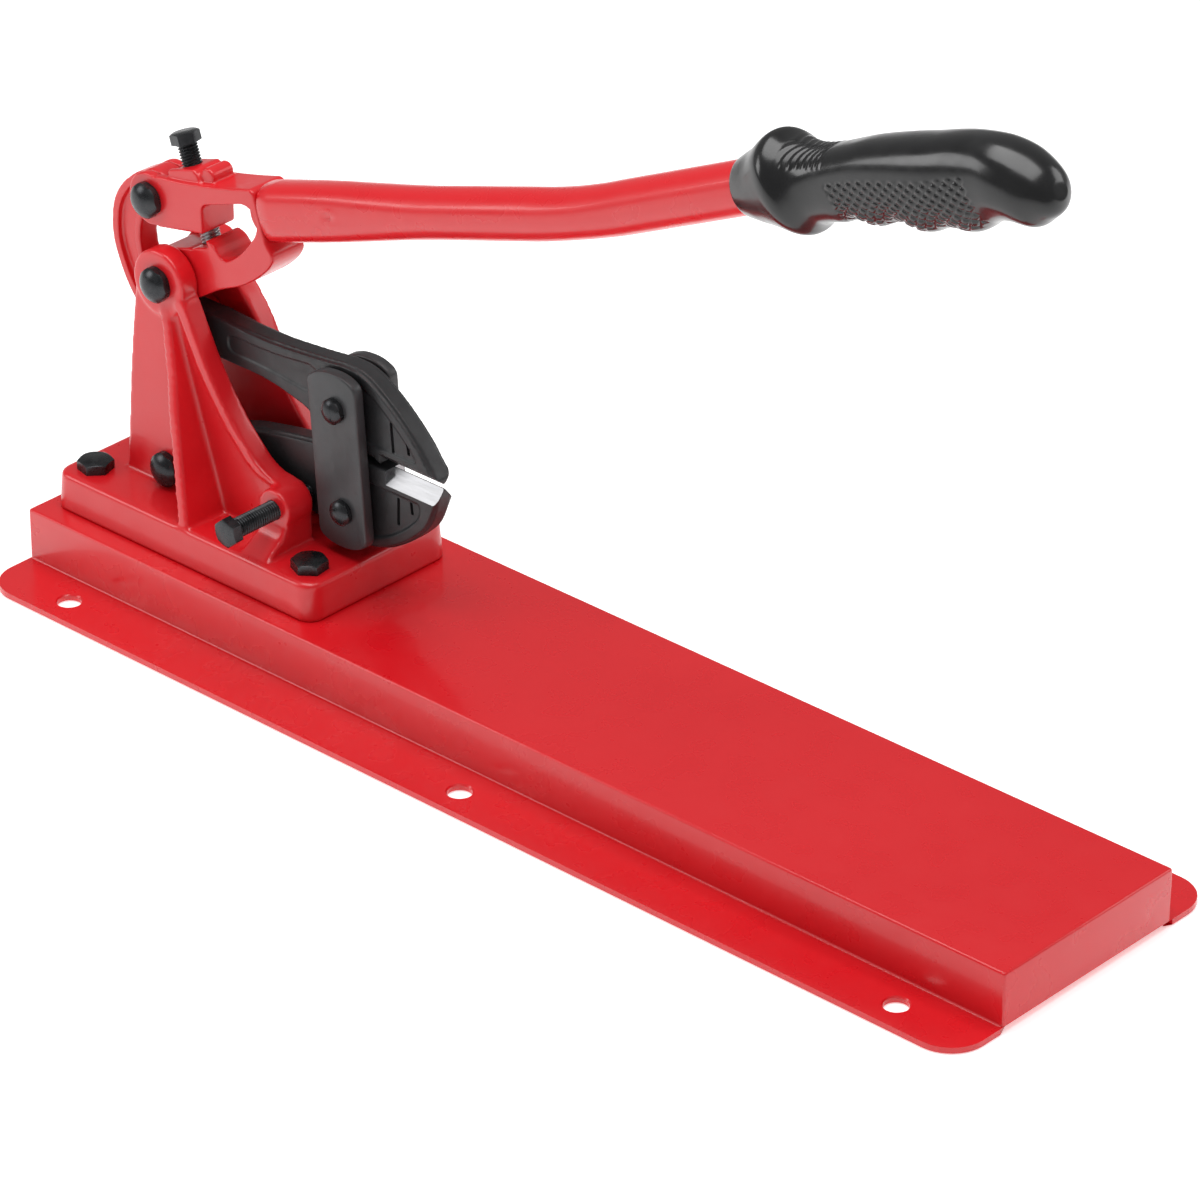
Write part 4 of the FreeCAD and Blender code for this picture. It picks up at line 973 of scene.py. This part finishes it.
def makeStraps():
    half = strap["wide"] / 2
    centres = math.hypot(strapHead[0] - strapFoot[0], strapHead[1] - strapFoot[1])
    tilt = math.atan2(strapFoot[0] - strapHead[0], strapHead[1] - strapFoot[1])
    low, high = -strap["below"], centres + strap["above"]
    inside = half * 0.55
    corners = [(-half, low + strap["shoulder"], 3), (-inside, low + 1), (0, low), (inside, low + 1),
               (half, low + strap["shoulder"], 3), (half, high - strap["shoulder"], 3), (inside, high - 1),
               (0, high), (-inside, high - 1), (-half, high - strap["shoulder"], 3)]
    corners = [(corner[0] - strap["shift"],) + corner[1:] for corner in corners]
    for name, node, side in (("strapFront", "strap_front", -1), ("strapBack", "strap_back", 1)):
        shape = outlineBlock(corners, -strap["thick"] / 2, strap["thick"] / 2, 4)
        rims = [edge for edge in shape.edges if abs(edge.verts[0].co.y - edge.verts[1].co.y) < 0.01]
        roundBevel(shape, rims, strap["edge"], 3)
        centreY = side * (jaw["bossHalf"] + strap["play"] + strap["thick"] / 2)
        place = Matrix.Translation((strapFoot[0], centreY, strapFoot[1])) @ Matrix.Rotation(-tilt, 4, "Y")
        piece = toObject(toMetres(moved(shape, place)), name, strapBlack)
        holes = disc(strapFoot, boreRadius["strap"], -20, 20)
        addTo(holes, disc(strapHead, boreRadius["strap"], -20, 20))
        cut(piece, holes)
        settle(piece, "straps", node, 35)


makeStraps()


print("fasteners")
fasteners = {"radius": 5.0, "pitch": 1.5, "baseAcross": 16.0, "baseHeadThick": 5.2, "screwAcross": 13.0,
             "screwThick": 5.5}
adjuster = {"top": 66.9, "bottom": -49.5, "blackEnd": -20.5}  # the last two are measured from the top
# name, bolt node, nut node, body, centre, shank radius, head radius, nut thickness, nut across its flats
jointBolts = [
    ("leverPivotBolt", "lever_pivot_bolt", "lever_pivot_nut", "stand", pivot, 6.0, 9.0, 8.0, 18.0),
    ("lowerJawBolt", "lower_jaw_bolt", "lower_jaw_nut", "stand", lowerPin, 5.0, 9.0, 8.0, 16.0),
    ("linkBolt", "link_bolt", "link_nut", "lever", linkPin, 5.0, 9.0, 8.0, 16.0),
    ("strapBoltUpper", "strap_bolt_upper", "strap_nut_upper", "straps", strapHead, 4.5, 6.5, 4.8, 13.0),
    ("strapBoltLower", "strap_bolt_lower", "strap_nut_lower", "straps", strapFoot, 4.5, 6.5, 4.8, 13.0)]


def domedHead(radius):
    # a thick round rim under a low dome, with six faint flats
    shares = [(0, -0.02), (0.94, -0.02), (1, 0.03), (1, 0.36), (0.97, 0.41), (0.89, 0.5), (0.74, 0.61),
              (0.55, 0.7), (0.32, 0.77), (0.12, 0.795), (0, 0.8)]
    profile = [(wide * radius, tall * radius) for wide, tall in shares]
    return turnedHex(profile, radius * 1.9, radius, math.radians(14))


def makeJointBolts():
    for name, boltNode, nutNode, body, centre, radius, headRadius, thick, across in jointBolts:
        seat = -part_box(nutNode)[0][1] / mm
        end = thick - seat
        shape = disc(centre, radius, seat, end - 0.6)
        addTo(shape, disc(centre, radius, end - 0.8, end + 0.2, farRadius=radius - 1.1))
        addTo(shape, moved(domedHead(headRadius), towardsFront(centre[0], seat, centre[1])))
        settle(toObject(toMetres(shape), name, fastenerBlack), body, boltNode, 30)
        nut = moved(chamferedHex(across, thick, True, math.radians(7)),
                    towardsBack(centre[0], -seat, centre[1]))
        piece = toObject(toMetres(nut), name.replace("Bolt", "Nut"), fastenerBlack)
        cut(piece, disc(centre, radius + 0.05, -seat - 1, end + 1, 48))
        settle(piece, body, nutNode, 30)


def makeBaseFasteners():
    low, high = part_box("base_bolts")
    nutLow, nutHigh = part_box("base_nuts")
    nutFoot, nutThick = nutLow[2] / mm, (nutHigh[2] - nutLow[2]) / mm
    across = fasteners["baseAcross"]
    lefts = low[0] / mm + cornerRadius(across), high[0] / mm - cornerRadius(across)
    sides = low[1] / mm + across / 2, high[1] / mm - across / 2
    spots = [(x, y) for x in lefts for y in sides]
    bolts, nuts = bmesh.new(), bmesh.new()
    for (x, y), turn in zip(spots, (0.3, 0.9, 0.15, 0.62)):
        bolt = chamferedHex(across, fasteners["baseHeadThick"], False, turn)
        moved(bolt, Matrix.Translation((x, y, stand["floorZ"])))
        rod = threadedRod(fasteners["radius"], fasteners["pitch"], nutFoot, stand["floorZ"] + 0.5)
        addTo(bolts, addTo(bolt, moved(rod, Matrix.Translation((x, y, 0)))))
        nut = chamferedHex(across, nutThick, True, turn + 0.4)
        addTo(nuts, moved(nut, Matrix.Translation((x, y, nutFoot))))
    for shape, name, node in ((bolts, "baseBolts", "base_bolts"), (nuts, "baseNuts", "base_nuts")):
        settle(toObject(toMetres(shape), name, fastenerBlack), "stand", node, 30)


def makeScrews():
    # the adjusting screw: a plain black top, then bright worn thread inside the head
    radius, pitch = fasteners["radius"], fasteners["pitch"]
    across, thick = fasteners["screwAcross"], fasteners["screwThick"]
    stance = alongScrew(adjuster["top"])
    shape = moved(threadedRod(radius, pitch, adjuster["blackEnd"] - 0.1, 0.4), stance)
    addTo(shape, moved(chamferedHex(across, thick, False, 0.35), stance))
    upper = toObject(toMetres(shape), "adjustingScrew", fastenerBlack)
    shape = moved(threadedRod(radius - 0.02, pitch, adjuster["bottom"], adjuster["blackEnd"]), stance)
    upper.data.materials.append(threadSteel)
    lower = toObject(toMetres(shape), "screwEnd", threadSteel)
    count = len(upper.data.polygons)
    join(upper, lower)
    for face in upper.data.polygons[count:]:
        face.material_index = 1
    settle(upper, "adjuster", "adjusting_screw", 30)
    headSeat = -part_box("clamp_screw")[0][1] / mm - thick
    shape = threadedRod(radius, pitch, jaw["half"] + 0.2, headSeat + 0.4)
    addTo(shape, moved(chamferedHex(across, thick, False, 0.2), Matrix.Translation((0, 0, headSeat))))
    moved(shape, towardsFront(clampAxis[0], 0, clampAxis[1]))
    piece = toObject(toMetres(shape), "clampScrew", fastenerBlack)
    settle(piece, "clamp", "clamp_screw", 30)


makeJointBolts()
makeBaseFasteners()
makeScrews()

# the washers and the link's pin keep their own solids
for node, finish in (("base_washers", fastenerBlack), ("link_pin", threadSteel)):
    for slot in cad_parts[node].material_slots:
        slot.material = finish


print("studio")
studio = {"floorSize": 6, "floorDrop": 0.0005, "floorGlow": 0.42, "sky": 0.28}
# name, place, what it points at, width, height, power
lights = [("overhead", (0.0, 0.0, 2.2), (0, 0, 0), 2.2, 1.6, 44),
          ("leftFront", (-2.0, -1.7, 1.3), (-0.1, 0, 0.12), 1.2, 1.2, 18),
          ("rightBack", (1.2, 1.9, 1.3), (0, 0, 0.15), 1.3, 0.9, 9)]
benchCamera = {"azimuth": 42.66, "elevation": 29.4, "lens": 181.3, "sensor": 36.0,
               "place": (1.6663, -1.7886, 1.453)}


def makeFloorFinish():
    finish, shader, place = newFinish("paleFloor", (0.9, 0.9, 0.9), 0.0, 0.6)
    twoTone(finish, noiseOn(finish, place, 3, 2), shader, (0.93, 0.93, 0.93), (0.95, 0.95, 0.95))
    shader.inputs["Emission Color"].default_value = (1, 1, 1, 1)
    shader.inputs["Emission Strength"].default_value = studio["floorGlow"]
    return finish


def makeStudio():
    shape = bmesh.new()
    bmesh.ops.create_grid(shape, x_segments=1, y_segments=1, size=studio["floorSize"])
    floorPiece = toObject(shape, "studioFloor", makeFloorFinish())
    floorPiece.location.z = -studio["floorDrop"]
    world = bpy.data.worlds.new("studioSky")
    world.use_nodes = True
    world.node_tree.nodes["Background"].inputs["Color"].default_value = (1, 1, 1, 1)
    world.node_tree.nodes["Background"].inputs["Strength"].default_value = studio["sky"]
    bpy.context.scene.world = world
    bpy.context.scene.view_settings.view_transform = "Standard"
    for name, spot, aim, wide, tall, power in lights:
        lamp = bpy.data.lights.new(name, "AREA")
        lamp.shape = "RECTANGLE"
        lamp.size, lamp.size_y, lamp.energy = wide, tall, power
        holder = bpy.data.objects.new(name, lamp)
        holder.location = spot
        holder.rotation_euler = (Vector(aim) - Vector(spot)).to_track_quat("-Z", "Y").to_euler()
        bpy.context.scene.collection.objects.link(holder)


def makeCamera():
    azimuth, elevation = math.radians(benchCamera["azimuth"]), math.radians(benchCamera["elevation"])
    level = math.cos(elevation)
    back = Vector((math.sin(azimuth) * level, -math.cos(azimuth) * level, math.sin(elevation)))
    lens = bpy.data.cameras.new("benchView")
    lens.lens, lens.sensor_width = benchCamera["lens"], benchCamera["sensor"]
    lens.clip_start, lens.clip_end = 0.05, 30
    camera = bpy.data.objects.new("benchView", lens)
    camera.location = benchCamera["place"]
    camera.rotation_euler = (-back).to_track_quat("-Z", "Y").to_euler()
    bpy.context.scene.collection.objects.link(camera)
    bpy.context.scene.camera = camera


makeStudio()
makeCamera()
